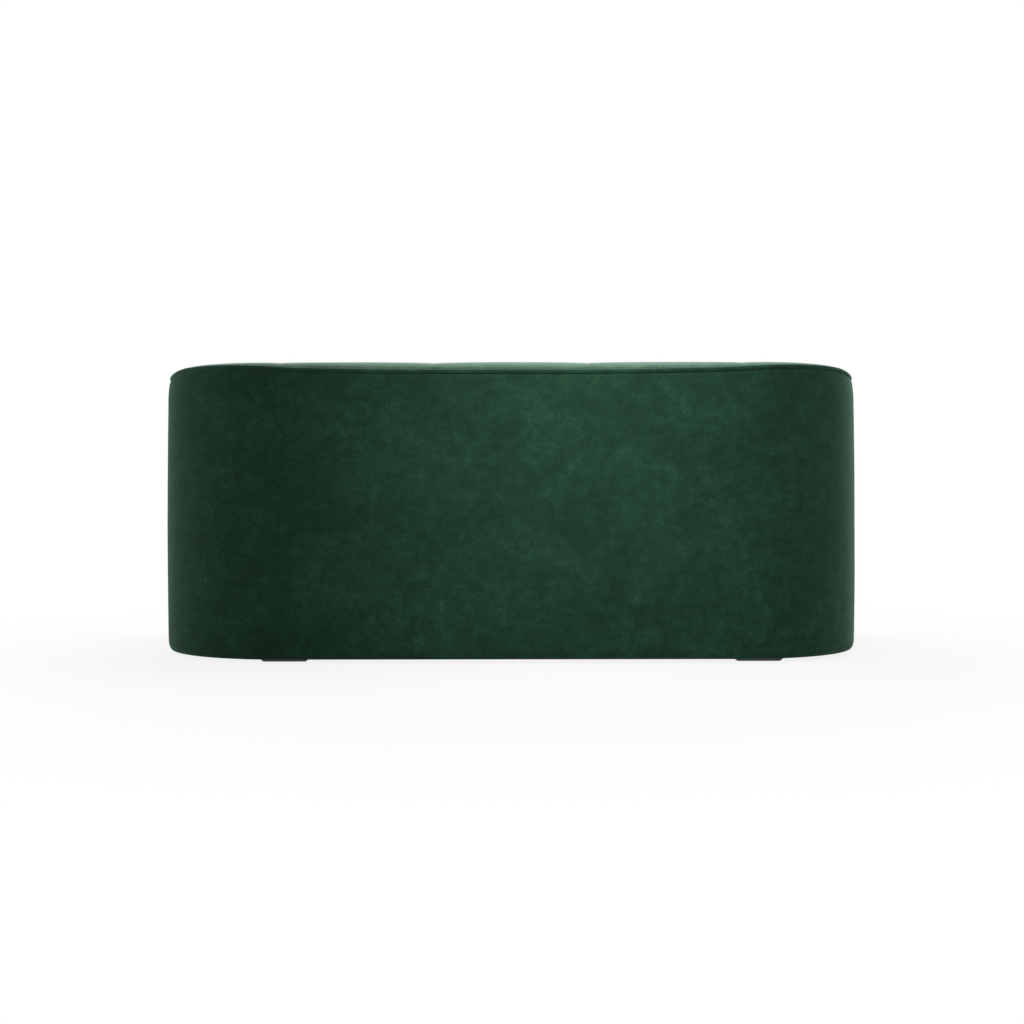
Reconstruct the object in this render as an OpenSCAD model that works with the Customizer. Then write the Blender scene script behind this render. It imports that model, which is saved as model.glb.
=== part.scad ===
// Tub sofa in velvet. A level wall runs round the back and both arms, with large rounded rear corners.
// The wall is a plywood and timber frame, boarded on both faces, with channelled pads inside it.
// Frame: +Z up, the seat faces -Y, and the origin lies on the floor under the middle of the plan.
// A place in the wall is given by t, the way round the outside from the middle of the back, by d, the
// distance inwards from the outer face, and by z, the height. t is positive on the sitter's left, +X.

/* [Overall] */
// Overall width, at the widest part of the arms
overall_w = 1850; // [1600:10:2200]
// Overall depth, from the arm fronts to the back
overall_d = 820; // [780:10:900]
// Overall height, at the crown of the inside pads
overall_h = 755; // [720:5:820]
// Outside radius of the rear corners, in plan
corner_r = 347; // [320:1:380]
// Thickness of the arms, and of the back at its top
wall_t = 150; // [140:1:170]
// Height of the cover's underside above the floor
floor_gap = 12; // [8:1:24]

/* [Outside cover] */
// Thickness of the velvet on its wadding
cover_t = 8; // [6:0.5:10]
// Thickness of the cover where it turns under the base
underlap_t = 4; // [3:0.5:5]
// Width of the cover's turned-under edge
underlap_w = 16; // [12:1:24]
// Radius of the padded roll round the foot of the wall
roll_r = 30; // [26:1:34]
// Swell of the outer face at mid height
side_swell = 2.5; // [1:0.5:4]
// Height at which the outer face is fullest
swell_z = 300; // [250:10:400]
// How far the outer face leans in under the piping
top_lean = 4; // [2:0.5:4.5]
// Height of the leaning strip under the piping
lean_h = 35; // [25:1:45]
// How far the seam lies under the crown, in the middle of the back
seam_drop = 36; // [34:1:44]
// How far the seam rises over the rear corners
shoulder_lift = 16; // [8:1:18]
// Thickness of the piping
piping_d = 12; // [10:0.5:13]
// Distance of the piping's middle behind the outer face
piping_inset = 12; // [11.5:0.5:14]

/* [Inside pads] */
// Extra thickness of the back pad at the seat, which rakes the back
back_rake = 55; // [30:5:70]
// Height of the rounded shoulder between the crown and the inner face
shoulder_h = 65; // [50:1:80]
// Number of channels across the straight part of the back
channels = 3; // [2:1:5]
// Depth of the valleys between the channels
channel_depth = 14; // [6:1:18]
// Depth of the same valleys on the crown
crown_dip = 2.6; // [1:0.2:5]

/* [Seat] */
// Height of the seat, at the crown of its cushions
seat_h = 440; // [420:5:460]
// Thickness of a seat cushion at its crown
cushion_t = 158; // [145:1:170]
// Rise of the crown over the cushion's top edge
cushion_crown = 34; // [20:1:45]
// How far a cushion's free sides draw in between its corners
draw_in = 7; // [3:1:12]
// Rounding of a cushion's edges
cushion_r = 30; // [20:1:36]
// Space between the two cushions
cushion_gap = 2; // [1:0.5:4]
// Thickness of the foam on the seat deck
deck_t = 30; // [22:1:36]
// Thickness of the cloth on the seat deck
deck_cloth_t = 1.5; // [1:0.25:2.5]
// Distance of the front border behind the arm fronts
border_setback = 60; // [55:1:64]
// Thickness of the padded front border
border_t = 20; // [16:1:24]

/* [Frame] */
// How far the frame's top lies under the seam
frame_drop = 19; // [17:1:24]
// Thickness of the plywood plates
ply_t = 18; // [15:1:22]
// Thickness of the outer and inner boards
board_t = 4; // [3:0.5:5]
// Depth of the studs, across the wall
stud_w = 56; // [45:1:60]
// Width of a stud, along the wall
stud_b = 28; // [22:1:34]
// Thickness of the seat rails
rail_t = 28; // [22:1:32]
// Height of the seat rails
rail_h = 95; // [80:1:105]
// Width of the base plate's strips
base_w = 90; // [80:1:100]
// Height of the beam under the middle of the seat
beam_h = 40; // [30:1:50]
// Width of the plank under the middle of the seat
plank_w = 120; // [119:1:150]
// Length of the legs of a glue block
block_leg = 60; // [40:1:70]
// Height of a glue block
block_h = 30; // [24:1:36]

/* [Webbing] */
// Width of a webbing strap
web_w = 70; // [50:1:74]
// Thickness of a webbing strap
web_t = 2; // [1.5:0.1:2.2]
// Distance between seat straps that run from front to back
web_pitch = 140; // [130:1:160]
// Distance between seat straps that run from side to side
cross_pitch = 134; // [120:1:140]
// Number of upright straps behind the back pad
back_straps = 7; // [5:1:9]

/* [Underside] */
// Thickness of the dust cover
dust_t = 1; // [0.6:0.2:1.4]
// Width of a foot
foot_w = 119; // [100:1:119]
// Depth of a foot
foot_d = 60; // [50:1:62]
// Chamfer round a foot's lower edge
foot_chamfer = 6; // [3:0.5:8]
// Distance of the left feet's middle from the side of the sofa
foot_left_in = 354; // [300:1:420]
// Distance of the right feet's middle from the side of the sofa
foot_right_in = 302; // [290:1:420]
// Set-back of the feet behind the outer face
foot_setback = 58; // [50:1:60]
// Shank radius of a foot's screws
screw_r = 2.25; // [1.75:0.05:2.5]
// Head radius of a foot's screws
screw_head_r = 5; // [4:0.1:5.5]
// Length of a foot's screws
screw_l = 27; // [20:1:28]
// Distance of each screw from the middle of its foot
screw_x = 35; // [25:1:40]
// Depth of the recess for a screw's head
screw_sink = 7; // [5:0.5:8]

/* [Hidden] */
// Running clearance between soft pieces and what they touch
gap = 0.3;
// Overrun of a cut past the face that it opens
over = 1;
// Clearance of a screw in the hole that it is driven into
screw_gap = 0.05;
// Clearance of a screw's shank and of its head in a foot
shank_gap = 0.25;
head_gap = 0.5;
// Clearance under the piping, where its flange is sewn in
piping_gap = 1;

// Steps along the wall, for the shapes that follow it
back_steps = 24;
corner_steps = 10;
arm_steps = 8;
// Sides of the piping
piping_sides = 8;
// Radius at which the piping turns down at an arm front
turn_r = 2 * piping_d;
// Steps round a corner of the piping
turn_steps = 4;
// Height of the seam's rise, as shares of the way along the back, and of the way round the corner
back_seam_shares = [[0, 0], [0.52, 0.04], [0.73, 0.19], [0.9, 0.31], [1, 0.47]];
corner_seam_shares = [[0.17, 1], [0.48, 1], [0.58, 0.81], [0.69, 0.25], [0.89, 0.19]];
// Heights down the inner face of a pad, as shares from its shoulder to its foot
face_shares = [0.2, 0.42, 0.64, 0.84, 1];
// Heights up the outer face, as shares from the roll to the leaning strip
outer_shares = [0.2, 0.4, 0.6, 0.8, 1];
// How full a channel is: 1 is a sine, and less is fuller
lobe_power = 0.6;
// Shares of the back's width at which the front posts stand
post_shares = [-1.2, -0.45, 0.45, 1.2];

half_w = overall_w / 2;
back_y = overall_d / 2;
// Half the straight part of the back, and the middle of a rear corner
half_back = half_w - corner_r;
corner_y = back_y - corner_r;
// The rounded arm fronts turn about this line
arm_y = wall_t / 2 + gap - back_y;
arm_x = half_w - wall_t / 2;
arm_l = corner_y - arm_y;
corner_l = corner_r * PI / 2;
half_l = half_back + corner_l + arm_l;
channel_w = 2 * half_back / channels;

// Layers of the wall, inwards from the outer face
board_d = cover_t + gap;
frame_d = board_d + board_t;
inner_d = frame_d + stud_w;
pad_d = inner_d + board_t;
base_d = roll_r;
// The cover's two faces at the seam, and the pads' edge behind it
lean_d = side_swell + top_lean;
cover_top_d = lean_d + underlap_t;
edge_d = cover_top_d + gap;
step_d = piping_inset + piping_d / 2 + gap;
crown_d = wall_t / 2;
// Heights of the frame, upwards from the floor
base_z = floor_gap + underlap_t;
plinth_z = base_z + ply_t;
stud_z = plinth_z + ply_t;
roll_z = floor_gap + roll_r;
board_z = roll_z + underlap_t;
seam_z = overall_h - seam_drop;
frame_z = seam_z - frame_drop;
plate_z = frame_z - ply_t;
lean_z = seam_z - lean_h;
shoulder_z = overall_h - shoulder_h;
// Heights of the seat, downwards from its crown
cushion_z = seat_h - cushion_t;
cloth_z = cushion_z - gap - deck_cloth_t;
deck_z = cloth_z - deck_t;
rail_z = deck_z - 2 * web_t - gap;
rail_foot_z = rail_z - rail_h;
border_y = border_setback - back_y;
board_y = border_y + border_t;
front_rail_y = board_y + board_t;
base_front_y = border_y + roll_r;
foot_left_x = half_w - foot_left_in;
foot_right_x = half_w - foot_right_in;
velvet = "#1e4532";
timber = "#c9a877";
plywood = "#b98f5c";
foam = "#e6dcc0";

// Angle round a rear corner at t, from 0 at the back to 90 at the arm
function corner_angle(t) = min(max((abs(t) - half_back) / corner_r * 180 / PI, 0), 90);

// A point of the outer outline, moved inwards by d
function wall_x(t, d) =
    let(a = corner_angle(t))
    sign(t) * (min(abs(t), half_back) + (corner_r - d) * sin(a));
function wall_y(t, d) =
    let(a = corner_angle(t), down = max(abs(t) - half_back - corner_l, 0))
    corner_y + (corner_r - d) * cos(a) - down;
function wall_point(t, d, z) = [wall_x(t, d), wall_y(t, d), z];

// Height of the seam under the piping
seam_table = concat(
    [for (s = back_seam_shares) [s[0] * half_back, s[1] * shoulder_lift]],
    [for (s = corner_seam_shares) [half_back + s[0] * corner_l, s[1] * shoulder_lift]]
);
function seam(t) = seam_z + lookup(abs(t), seam_table);

// Places along the wall, from the front of one arm round to the other
corner_ts = [for (i = [1:corner_steps]) half_back + i * corner_l / corner_steps];
arm_ts = [for (i = [1:arm_steps]) half_back + corner_l + i * arm_l / arm_steps];
side_ts = concat(corner_ts, arm_ts);
back_ts = [for (i = [0:back_steps]) half_back * (2 * i / back_steps - 1)];
last_side = len(side_ts) - 1;
all_ts = concat([for (i = [0:last_side]) -side_ts[last_side - i]], back_ts, side_ts);

// Channels: 1 along the middle of a channel, 0 in the valley between two
function lobe(u) = pow(max(sin(180 * u), 0), lobe_power);
function channel_share(t) =
    abs(t) <= half_back
        ? lobe(((t + half_back) % channel_w) / channel_w)
        : abs(t) <= half_back + corner_l
            ? lobe((abs(t) - half_back) / corner_l)
            : lobe(min((abs(t) - half_back - corner_l) / arm_l, 0.5));

// Distance of a pad's inner face from the outer face
function pad_face(t, z) =
    let(low = min(max((shoulder_z - z) / (shoulder_z - cushion_z), 0), 1))
    wall_t + back_rake * low * pow(cos(corner_angle(t)), 2) - channel_depth * (1 - channel_share(t));
function pad_crown(t) = overall_h - crown_dip * (1 - channel_share(t));

// The skin of a pad, from the seam over the crown and down the inner face, as [d, z]. Its outer edge backs
// the cover, and steps in at the arm front, where the piping turns down.
function pad_skin(t) =
    let(
        s = seam(t),
        crown = pad_crown(t),
        low_z = s + 3 * piping_d / 4,
        edge = abs(t) > half_l - turn_r ? step_d - gap : edge_d,
        face = pad_face(t, shoulder_z)
    )
    concat(
        [[edge, frame_z + gap], [edge, s - gap], [step_d, s + gap], [step_d + gap, low_z]],
        [for (a = [22.5:22.5:90])
            [crown_d - (crown_d - step_d) * cos(a), low_z + (crown - low_z) * sin(a)]],
        [for (a = [22.5:22.5:90])
            [crown_d + (face - crown_d) * sin(a), crown - (crown - shoulder_z) * (1 - cos(a))]],
        [for (s = face_shares)
            let(z = shoulder_z + s * (deck_z - shoulder_z))
            [pad_face(t, z), z]]
    );
// The same pad where it lies on the frame: over the top plate and down the inner boards
skin_count = 12 + len(face_shares);
top_count = 8;
function pad_back() =
    let(back_d = step_d + piping_gap)
    concat(
        [for (i = [0:top_count])
            [back_d + (pad_d + gap - back_d) * i / top_count, frame_z + gap]],
        [for (i = [1:skin_count - top_count - 1])
            [pad_d + gap, frame_z + gap + i * (deck_z - frame_z - gap) / (skin_count - top_count - 1)]]
    );

// A closed solid through the sections at a list of places. A section is a skin and a back of as many points.
module wall_loft(places, sections) {
    n = len(sections[0]) / 2;
    ring = 2 * n;
    last = len(places) - 1;
    points = [for (i = [0:last]) for (p = sections[i]) wall_point(places[i], p[0], p[1])];
    sides = [for (i = [0:last - 1]) for (j = [0:ring - 1])
        let(a = i * ring + j, b = i * ring + (j + 1) % ring)
        each [[a, b, b + ring], [a, b + ring, a + ring]]];
    caps = [for (j = [0:n - 2])
        let(a = j, b = j + 1, c = ring - 2 - j, e = ring - 1 - j, o = last * ring)
        each [[a, e, b], [b, e, c], [o + a, o + b, o + e], [o + b, o + c, o + e]]];
    polyhedron(points, concat(sides, caps), convexity = 6);
}
function reversed(list) = [for (i = [len(list) - 1:-1:0]) list[i]];

module pad(from, to, steps) {
    inset = gap / 2;
    places = [for (i = [0:steps]) from + inset + (to - from - 2 * inset) * i / steps];
    color(velvet) wall_loft(places, [for (t = places) concat(pad_skin(t), reversed(pad_back()))]);
}

// Straight and curved lengths of the wall, between two distances and two heights
module back_length(d0, d1, z0, z1, x0, x1) {
    translate([x0, back_y - d1, z0]) cube([x1 - x0, d1 - d0, z1 - z0]);
}
module corner_lengths(d0, d1, z0, z1) {
    trim = asin(gap / (corner_r - d1));
    for (side = [0, 1]) mirror([side, 0, 0]) translate([half_back, corner_y, z0])
        rotate([0, 0, trim])
        rotate_extrude(angle = 90 - 2 * trim) translate([corner_r - d1, 0]) square([d1 - d0, z1 - z0]);
}
module arm_lengths(d0, d1, z0, z1, y0, y1) {
    for (side = [0, 1]) mirror([side, 0, 0])
        translate([half_w - d1, y0, z0]) cube([d1 - d0, y1 - y0, z1 - z0]);
}
module arm_front_halves(r, z0, z1) {
    for (side = [0, 1]) mirror([side, 0, 0]) translate([arm_x, arm_y - gap, z0])
        rotate([0, 0, 180])
        rotate_extrude(angle = 180) square([r, z1 - z0]);
}
module whole_wall(d0, d1, z0, z1) {
    back_length(d0, d1, z0, z1, -half_back, half_back);
    corner_lengths(d0, d1, z0, z1);
    arm_lengths(d0, d1, z0, z1, arm_y, corner_y);
}
// A section in d and z, carried round the whole wall in one piece
module wall_sweep() {
    translate([-half_back, back_y, 0]) rotate([90, 0, 90])
        linear_extrude(2 * half_back) mirror([1, 0]) children();
    for (side = [0, 1]) mirror([side, 0, 0]) {
        translate([half_back, corner_y, 0])
            rotate_extrude(angle = 90) translate([corner_r, 0]) mirror([1, 0]) children();
        translate([half_w, corner_y, 0]) rotate([90, 0, 0])
            linear_extrude(arm_l) mirror([1, 0]) children();
    }
}

// Frame: base, plinth and top plate
module base_plate() {
    screw_hole_r = screw_r + screw_gap;
    color(plywood) difference() {
        union() {
            whole_wall(base_d, base_d + base_w, base_z, plinth_z);
            arm_front_halves(wall_t / 2 - base_d, base_z, plinth_z);
            front_x = half_w - base_d - base_w - gap;
            translate([-front_x, base_front_y, base_z]) cube([2 * front_x, base_w, ply_t]);
        }
        foot_places() screw_places() translate([0, 0, base_z - over])
            cylinder(r = screw_hole_r, h = ply_t + 2 * over, $fn = 24);
    }
}
// Room for the piping where it runs down the outer edge of an arm front
module piping_slots(d) {
    s = piping_d / 2 + gap;
    for (side = [0, 1]) mirror([side, 0, 0])
        translate([half_w - d, arm_y - s, 0]) cube([d + over, 2 * s, overall_h]);
}
module plinth() {
    color(plywood) difference() {
        union() {
            whole_wall(frame_d, inner_d, plinth_z, stud_z);
            arm_front_halves(wall_t / 2 - frame_d, plinth_z, stud_z);
        }
        piping_slots(frame_d + piping_gap);
    }
}
module top_plate() {
    color(plywood) {
        whole_wall(frame_d, inner_d, plate_z, frame_z);
        arm_front_halves(wall_t / 2 - frame_d, plate_z, frame_z);
    }
}

// Studs between the plinth and the top plate
module back_studs() {
    count = 6;
    pitch = (2 * half_back - stud_b) / (count - 1);
    color(timber) for (i = [0:count - 1]) {
        x = i * pitch - half_back;
        back_length(frame_d, inner_d, stud_z, plate_z, x, x + stud_b);
    }
}
module corner_studs() {
    color(timber) for (side = [0, 1]) mirror([side, 0, 0])
        for (a = [30, 60]) translate([half_back, corner_y, stud_z]) rotate([0, 0, a])
            stud_in_corner();
}
// The outer face of a stud is cut round, to the curve of its board
module stud_in_corner() {
    h = plate_z - stud_z;
    intersection() {
        translate([corner_r - inner_d + gap, -stud_b / 2, 0]) cube([stud_w, stud_b, h]);
        cylinder(r = corner_r - frame_d, h = h, $fn = 96);
    }
}
module arm_studs() {
    pitch = (arm_l - stud_b) / 2;
    color(timber) for (i = [0:2]) {
        y = arm_y + i * pitch;
        arm_lengths(frame_d, inner_d, stud_z, plate_z, y, y + stud_b);
    }
}
module arm_front_posts() {
    // The posts' front corners reach the half round of the plates
    post_x = sqrt(pow(wall_t / 2 - frame_d, 2) - pow(stud_b, 2)) - stud_b - gap;
    color(timber) for (side = [0, 1]) mirror([side, 0, 0]) for (x = [-post_x - stud_b, post_x])
        translate([arm_x + x, arm_y - gap - stud_b, stud_z]) cube([stud_b, stud_b, plate_z - stud_z]);
}

// Boards on the outer and the inner face of the frame
module back_board() {
    color(plywood) back_length(board_d, frame_d, board_z, frame_z, gap - half_back, half_back - gap);
}
module corner_boards() {
    color(plywood) corner_lengths(board_d, frame_d, board_z, frame_z);
}
module arm_boards() {
    y = arm_y + piping_d / 2 + gap;
    color(plywood) arm_lengths(board_d, frame_d, board_z, frame_z, y, corner_y - gap);
}
module arm_front_boards() {
    r = wall_t / 2 - board_d;
    color(plywood) difference() {
        for (side = [0, 1]) mirror([side, 0, 0]) translate([arm_x, arm_y - gap, board_z])
            rotate([0, 0, 180])
            rotate_extrude(angle = 180) translate([r - board_t, 0]) square([board_t, frame_z - board_z]);
        piping_slots(frame_d + board_t);
    }
}
module inner_corner_boards() {
    color(plywood) corner_lengths(inner_d, pad_d, stud_z, frame_z);
}
module inner_arm_boards() {
    color(plywood) arm_lengths(inner_d, pad_d, stud_z, frame_z, arm_y, corner_y - gap);
}

// Seat frame
inner_half_w = half_w - pad_d;
module front_seat_rail() {
    x = inner_half_w - gap;
    color(timber) translate([-x, front_rail_y, rail_foot_z]) cube([2 * x, rail_t, rail_h]);
}
module side_seat_rails() {
    color(timber)
        arm_lengths(pad_d, pad_d + rail_t, rail_foot_z, rail_z, front_rail_y + rail_t, corner_y - gap);
}
module corner_seat_rails() {
    color(timber) corner_lengths(pad_d + gap, pad_d + rail_t, rail_foot_z, rail_z);
}
back_rail_d = inner_d + web_t;
module back_seat_rail() {
    color(timber) back_length(back_rail_d, back_rail_d + rail_t, rail_foot_z, rail_z,
        gap - half_back, half_back - gap);
}
beam_y0 = front_rail_y + rail_t;
beam_y1 = back_y - back_rail_d - rail_t;
module seat_beam() {
    color(timber) translate([-rail_t / 2, beam_y0, rail_foot_z]) cube([rail_t, beam_y1 - beam_y0, beam_h]);
}
post_y = (beam_y0 + beam_y1) / 2;
module seat_beam_post() {
    color(timber) translate([-rail_t / 2, post_y - rail_t, plinth_z])
        cube([rail_t, 2 * rail_t, rail_foot_z - plinth_z]);
}
plank_y0 = base_front_y + base_w + gap;
plank_y1 = back_y - base_d - base_w - gap;
module middle_plank() {
    screw_hole_r = screw_r + screw_gap;
    color(plywood) difference() {
        translate([-plank_w / 2, plank_y0, base_z]) cube([plank_w, plank_y1 - plank_y0, ply_t]);
        middle_place() screw_places() translate([0, 0, base_z - over])
            cylinder(r = screw_hole_r, h = ply_t + 2 * over, $fn = 24);
    }
}
module front_posts() {
    color(timber) for (s = post_shares)
        translate([s * half_back - stud_b, front_rail_y, plinth_z])
            cube([2 * stud_b, rail_t, rail_foot_z - plinth_z]);
}
module front_board() {
    x = inner_half_w - gap;
    color(plywood) translate([-x, board_y, plinth_z]) cube([2 * x, board_t, rail_z - plinth_z]);
}
// Three-sided blocks, glued in the inside corners of the seat frame
module glue_block(angle) {
    rotate([0, 0, angle]) linear_extrude(block_h) polygon([[0, 0], [block_leg, 0], [0, block_leg]]);
}
module glue_blocks() {
    side_x = half_w - pad_d - rail_t;
    color(timber) translate([0, 0, rail_foot_z]) {
        translate([side_x, beam_y0, 0]) glue_block(90);
        translate([-side_x, beam_y0, 0]) glue_block(0);
        translate([rail_t / 2, beam_y0, 0]) glue_block(0);
        translate([-rail_t / 2, beam_y0, 0]) glue_block(90);
        translate([rail_t / 2, beam_y1, 0]) glue_block(270);
        translate([-rail_t / 2, beam_y1, 0]) glue_block(180);
    }
}

// Webbing. Straps run from the front rail to the back rail, and others cross them over and under.
long_count = 2 * floor((inner_half_w - web_w - rail_t) / web_pitch) + 1;
strap_xs = [for (i = [0:long_count - 1]) (i - (long_count - 1) / 2) * web_pitch];
strap_end_d = pad_d + 4 * web_t;
module strap_field() {
    y = front_rail_y + web_t;
    translate([-half_back, y]) square([2 * half_back, back_y - strap_end_d - y]);
    for (side = [0, 1]) mirror([side, 0]) {
        translate([half_back - over, y]) square([corner_r - strap_end_d + over, corner_y - y]);
        translate([half_back, corner_y]) circle(r = corner_r - strap_end_d, $fn = 96);
    }
}
module seat_straps() {
    color("dimgray") translate([0, 0, rail_z]) for (x = strap_xs)
        linear_extrude(web_t) intersection() {
            translate([x - web_w / 2, -back_y]) square([web_w, overall_d]);
            strap_field();
        }
}
module seat_cross_straps() {
    end_x = half_w - pad_d - 2 * web_t;
    lift = web_t + gap / 2;
    flat = web_w / 2 + web_t;
    color("gray") for (k = [-1, 0, 1]) translate([0, k * cross_pitch - cross_pitch / 2, rail_z]) {
        middle = concat(
            [[-end_x, web_t / 2], [rail_t - end_x, web_t / 2]],
            [for (i = [0:long_count - 1])
                let(z = web_t / 2 + ((i + k) % 2 == 0 ? lift : -lift))
                each [[strap_xs[i] - flat, z], [strap_xs[i] + flat, z]]],
            [[end_x - rail_t, web_t / 2], [end_x, web_t / 2]]
        );
        under = [for (p = middle) [p[0], p[1] - web_t / 2]];
        upper = [for (p = middle) [p[0], p[1] + web_t / 2]];
        translate([0, web_w / 2, 0]) rotate([90, 0, 0])
            linear_extrude(web_w) polygon(concat(under, reversed(upper)));
    }
}
module back_straps_upright() {
    pitch = (2 * half_back - web_w) / (back_straps - 1);
    color("dimgray") for (i = [0:back_straps - 1]) {
        x = i * pitch - half_back;
        back_length(inner_d, back_rail_d, rail_foot_z, frame_z - gap, x, x + web_w);
    }
}
module back_straps_level() {
    pitch = (plate_z - rail_z - web_w) / 3;
    color("gray") for (i = [1, 2]) {
        z = rail_z + i * pitch;
        back_length(back_rail_d, back_rail_d + web_t, z, z + web_w,
            2 * gap - half_back, half_back - 2 * gap);
    }
}

// Plan of the seat inside the pads, drawn in by a clearance, for one half of the sofa
function seat_corner(a, inset) =
    let(r = corner_r - wall_t - back_rake * pow(cos(a), 2) - inset)
    [half_back + r * sin(a), corner_y + r * cos(a)];
side_in = half_w - wall_t;
seat_back_y = back_y - wall_t - back_rake;
module deck_plan(inset) {
    right = [for (a = [0:9:90]) seat_corner(a, inset)];
    front = [side_in - inset, board_y + gap];
    left = [for (p = reversed(concat(right, [front]))) [-p[0], p[1]]];
    polygon(concat(right, [front], left));
}
module deck_foam() {
    color(foam) translate([0, 0, deck_z]) linear_extrude(deck_t) deck_plan(gap);
}
module deck_cloth() {
    color("#24372d") translate([0, 0, cloth_z]) linear_extrude(deck_cloth_t) deck_plan(gap);
}

// Sections of the outside cover and of the foam roll at its foot, in d and z
function outer_d(z) =
    z <= swell_z
        ? side_swell * pow((swell_z - z) / (swell_z - roll_z), 2)
        : side_swell * pow((z - swell_z) / (lean_z - swell_z), 2);
roll_outer = [for (a = [0:15:90]) [roll_r - (roll_r - side_swell) * cos(a), roll_z - roll_r * sin(a)]];
roll_inner = [for (a = [0:15:90])
    [roll_r - (roll_r - cover_t) * cos(a), roll_z - (roll_r - underlap_t) * sin(a)]];
underlap_d = roll_r + underlap_w;
module cover_section() {
    top_z = seam_z + shoulder_lift + piping_d;
    polygon(concat(
        [[lean_d, top_z], [lean_d, seam_z]],
        [for (s = reversed(outer_shares)) let(z = roll_z + s * (lean_z - roll_z)) [outer_d(z), z]],
        roll_outer,
        [[underlap_d, floor_gap], [underlap_d, base_z]],
        reversed(roll_inner),
        [[cover_t, frame_z], [cover_top_d, seam_z], [cover_top_d, top_z]]
    ));
}
// What lies above the seam, seen from behind
module above_seam(clear) {
    line = [for (t = all_ts) if (abs(t) <= half_back + corner_l) [wall_x(t, cover_t), seam(t) - clear]];
    far = 2 * half_w;
    end_z = seam(half_l) - clear;
    top = 2 * overall_h;
    translate([0, overall_d, 0]) rotate([90, 0, 0]) linear_extrude(2 * overall_d)
        polygon(concat([[-far, end_z]], line, [[far, end_z], [far, top], [-far, top]]));
}
// The cover's top corners at the arm fronts are rounded, where the piping turns down
module piping_turns() {
    r = turn_r - piping_d / 2 - piping_gap;
    for (side = [0, 1]) mirror([side, 0, 0])
        translate([half_w - 2 * cover_t, arm_y + turn_r, piping_top_z - turn_r]) rotate([90, 0, 90])
            linear_extrude(3 * cover_t) difference() {
                translate([-2 * turn_r, 0]) square(2 * turn_r);
                circle(r = r, $fn = 48);
            }
}
module outside_cover() {
    // The cover stops short of the piping that runs down the arm front
    end_y = arm_y + piping_d / 2 + piping_gap;
    color(velvet) difference() {
        wall_sweep() cover_section();
        above_seam(piping_gap);
        translate([-overall_w, end_y - overall_d, 0]) cube([2 * overall_w, overall_d, overall_h]);
        piping_turns();
        rear_places() foot_room(base_z + gap);
    }
}
module base_edge_roll() {
    color(foam) difference() {
        union() {
            wall_sweep() roll_section();
            for (side = [0, 1]) mirror([side, 0, 0]) translate([arm_x, arm_y - gap, 0])
                rotate([0, 0, 180])
                rotate_extrude(angle = 180) translate([wall_t / 2, 0]) mirror([1, 0]) roll_section();
        }
        piping_slots(roll_r);
    }
}
module roll_section() {
    polygon(concat(
        [[cover_t, board_z], [frame_d, board_z], [frame_d, plinth_z], [base_d, plinth_z], [base_d, base_z]],
        reversed([for (p = roll_inner) if (p[0] < roll_r - gap) p])
    ));
}

// Piping: up the front edge of one arm, round the whole wall above the seam, and down the other.
// A place on its route is [t, z, d].
piping_top_z = seam(half_l) + piping_d / 2;
piping_side_d = piping_d / 2 - gap;
piping_half = concat(
    [for (i = [back_steps / 2:back_steps]) let(t = back_ts[i]) [t, seam(t) + piping_d / 2, piping_inset]],
    [for (t = corner_ts) [t, seam(t) + piping_d / 2, piping_inset]],
    [for (i = [1:2]) [half_back + corner_l + i * arm_l / 3, piping_top_z, piping_inset]],
    [for (i = [0:turn_steps])
        let(a = 90 * i / turn_steps)
        [
            half_l - turn_r * (1 - sin(a)),
            piping_top_z - turn_r * (1 - cos(a)),
            piping_inset + (piping_side_d - piping_inset) * pow(sin(a), 2)
        ]],
    [for (a = [0:25:75])
        let(r = roll_r - piping_side_d)
        [half_l, roll_z - r * sin(a), roll_r - r * cos(a)]]
);
piping_route = concat(
    [for (i = [len(piping_half) - 1:-1:1]) let(p = piping_half[i]) [-p[0], p[1], p[2]]],
    piping_half
);
module piping_cord() {
    last = len(piping_route) - 1;
    n = piping_sides;
    points = [for (i = [0:last])
        let(
            here = piping_route[i],
            run = piping_route[min(i + 1, last)] - piping_route[max(i - 1, 0)],
            along_run = run / norm(run),
            up = cross(along_run, [0, 0, 1]) / norm(cross(along_run, [0, 0, 1])),
            inward = cross(up, along_run)
        )
        for (k = [0:n - 1])
            let(
                a = 360 * (k + 0.5) / n,
                p = here + (up * sin(a) + inward * cos(a)) * piping_d / 2
            )
            wall_point(p[0], p[2], p[1])];
    sides = [for (i = [0:last - 1]) for (k = [0:n - 1])
        let(a = i * n + k, b = i * n + (k + 1) % n)
        each [[a, b + n, b], [a, a + n, b + n]]];
    caps = [for (k = [1:n - 2]) each [[0, k, k + 1], [last * n, last * n + k + 1, last * n + k]]];
    color(velvet) polyhedron(points, concat(sides, caps), convexity = 6);
}

// Inside pads
module back_pad() { pad(-half_back, half_back, back_steps); }
module left_corner_pad() { pad(half_back, half_back + corner_l, corner_steps); }
module right_corner_pad() { pad(-half_back - corner_l, -half_back, corner_steps); }
module left_arm_pad() { pad(half_back + corner_l, half_l, arm_steps); }
module right_arm_pad() { pad(-half_l, -half_back - corner_l, arm_steps); }

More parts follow.
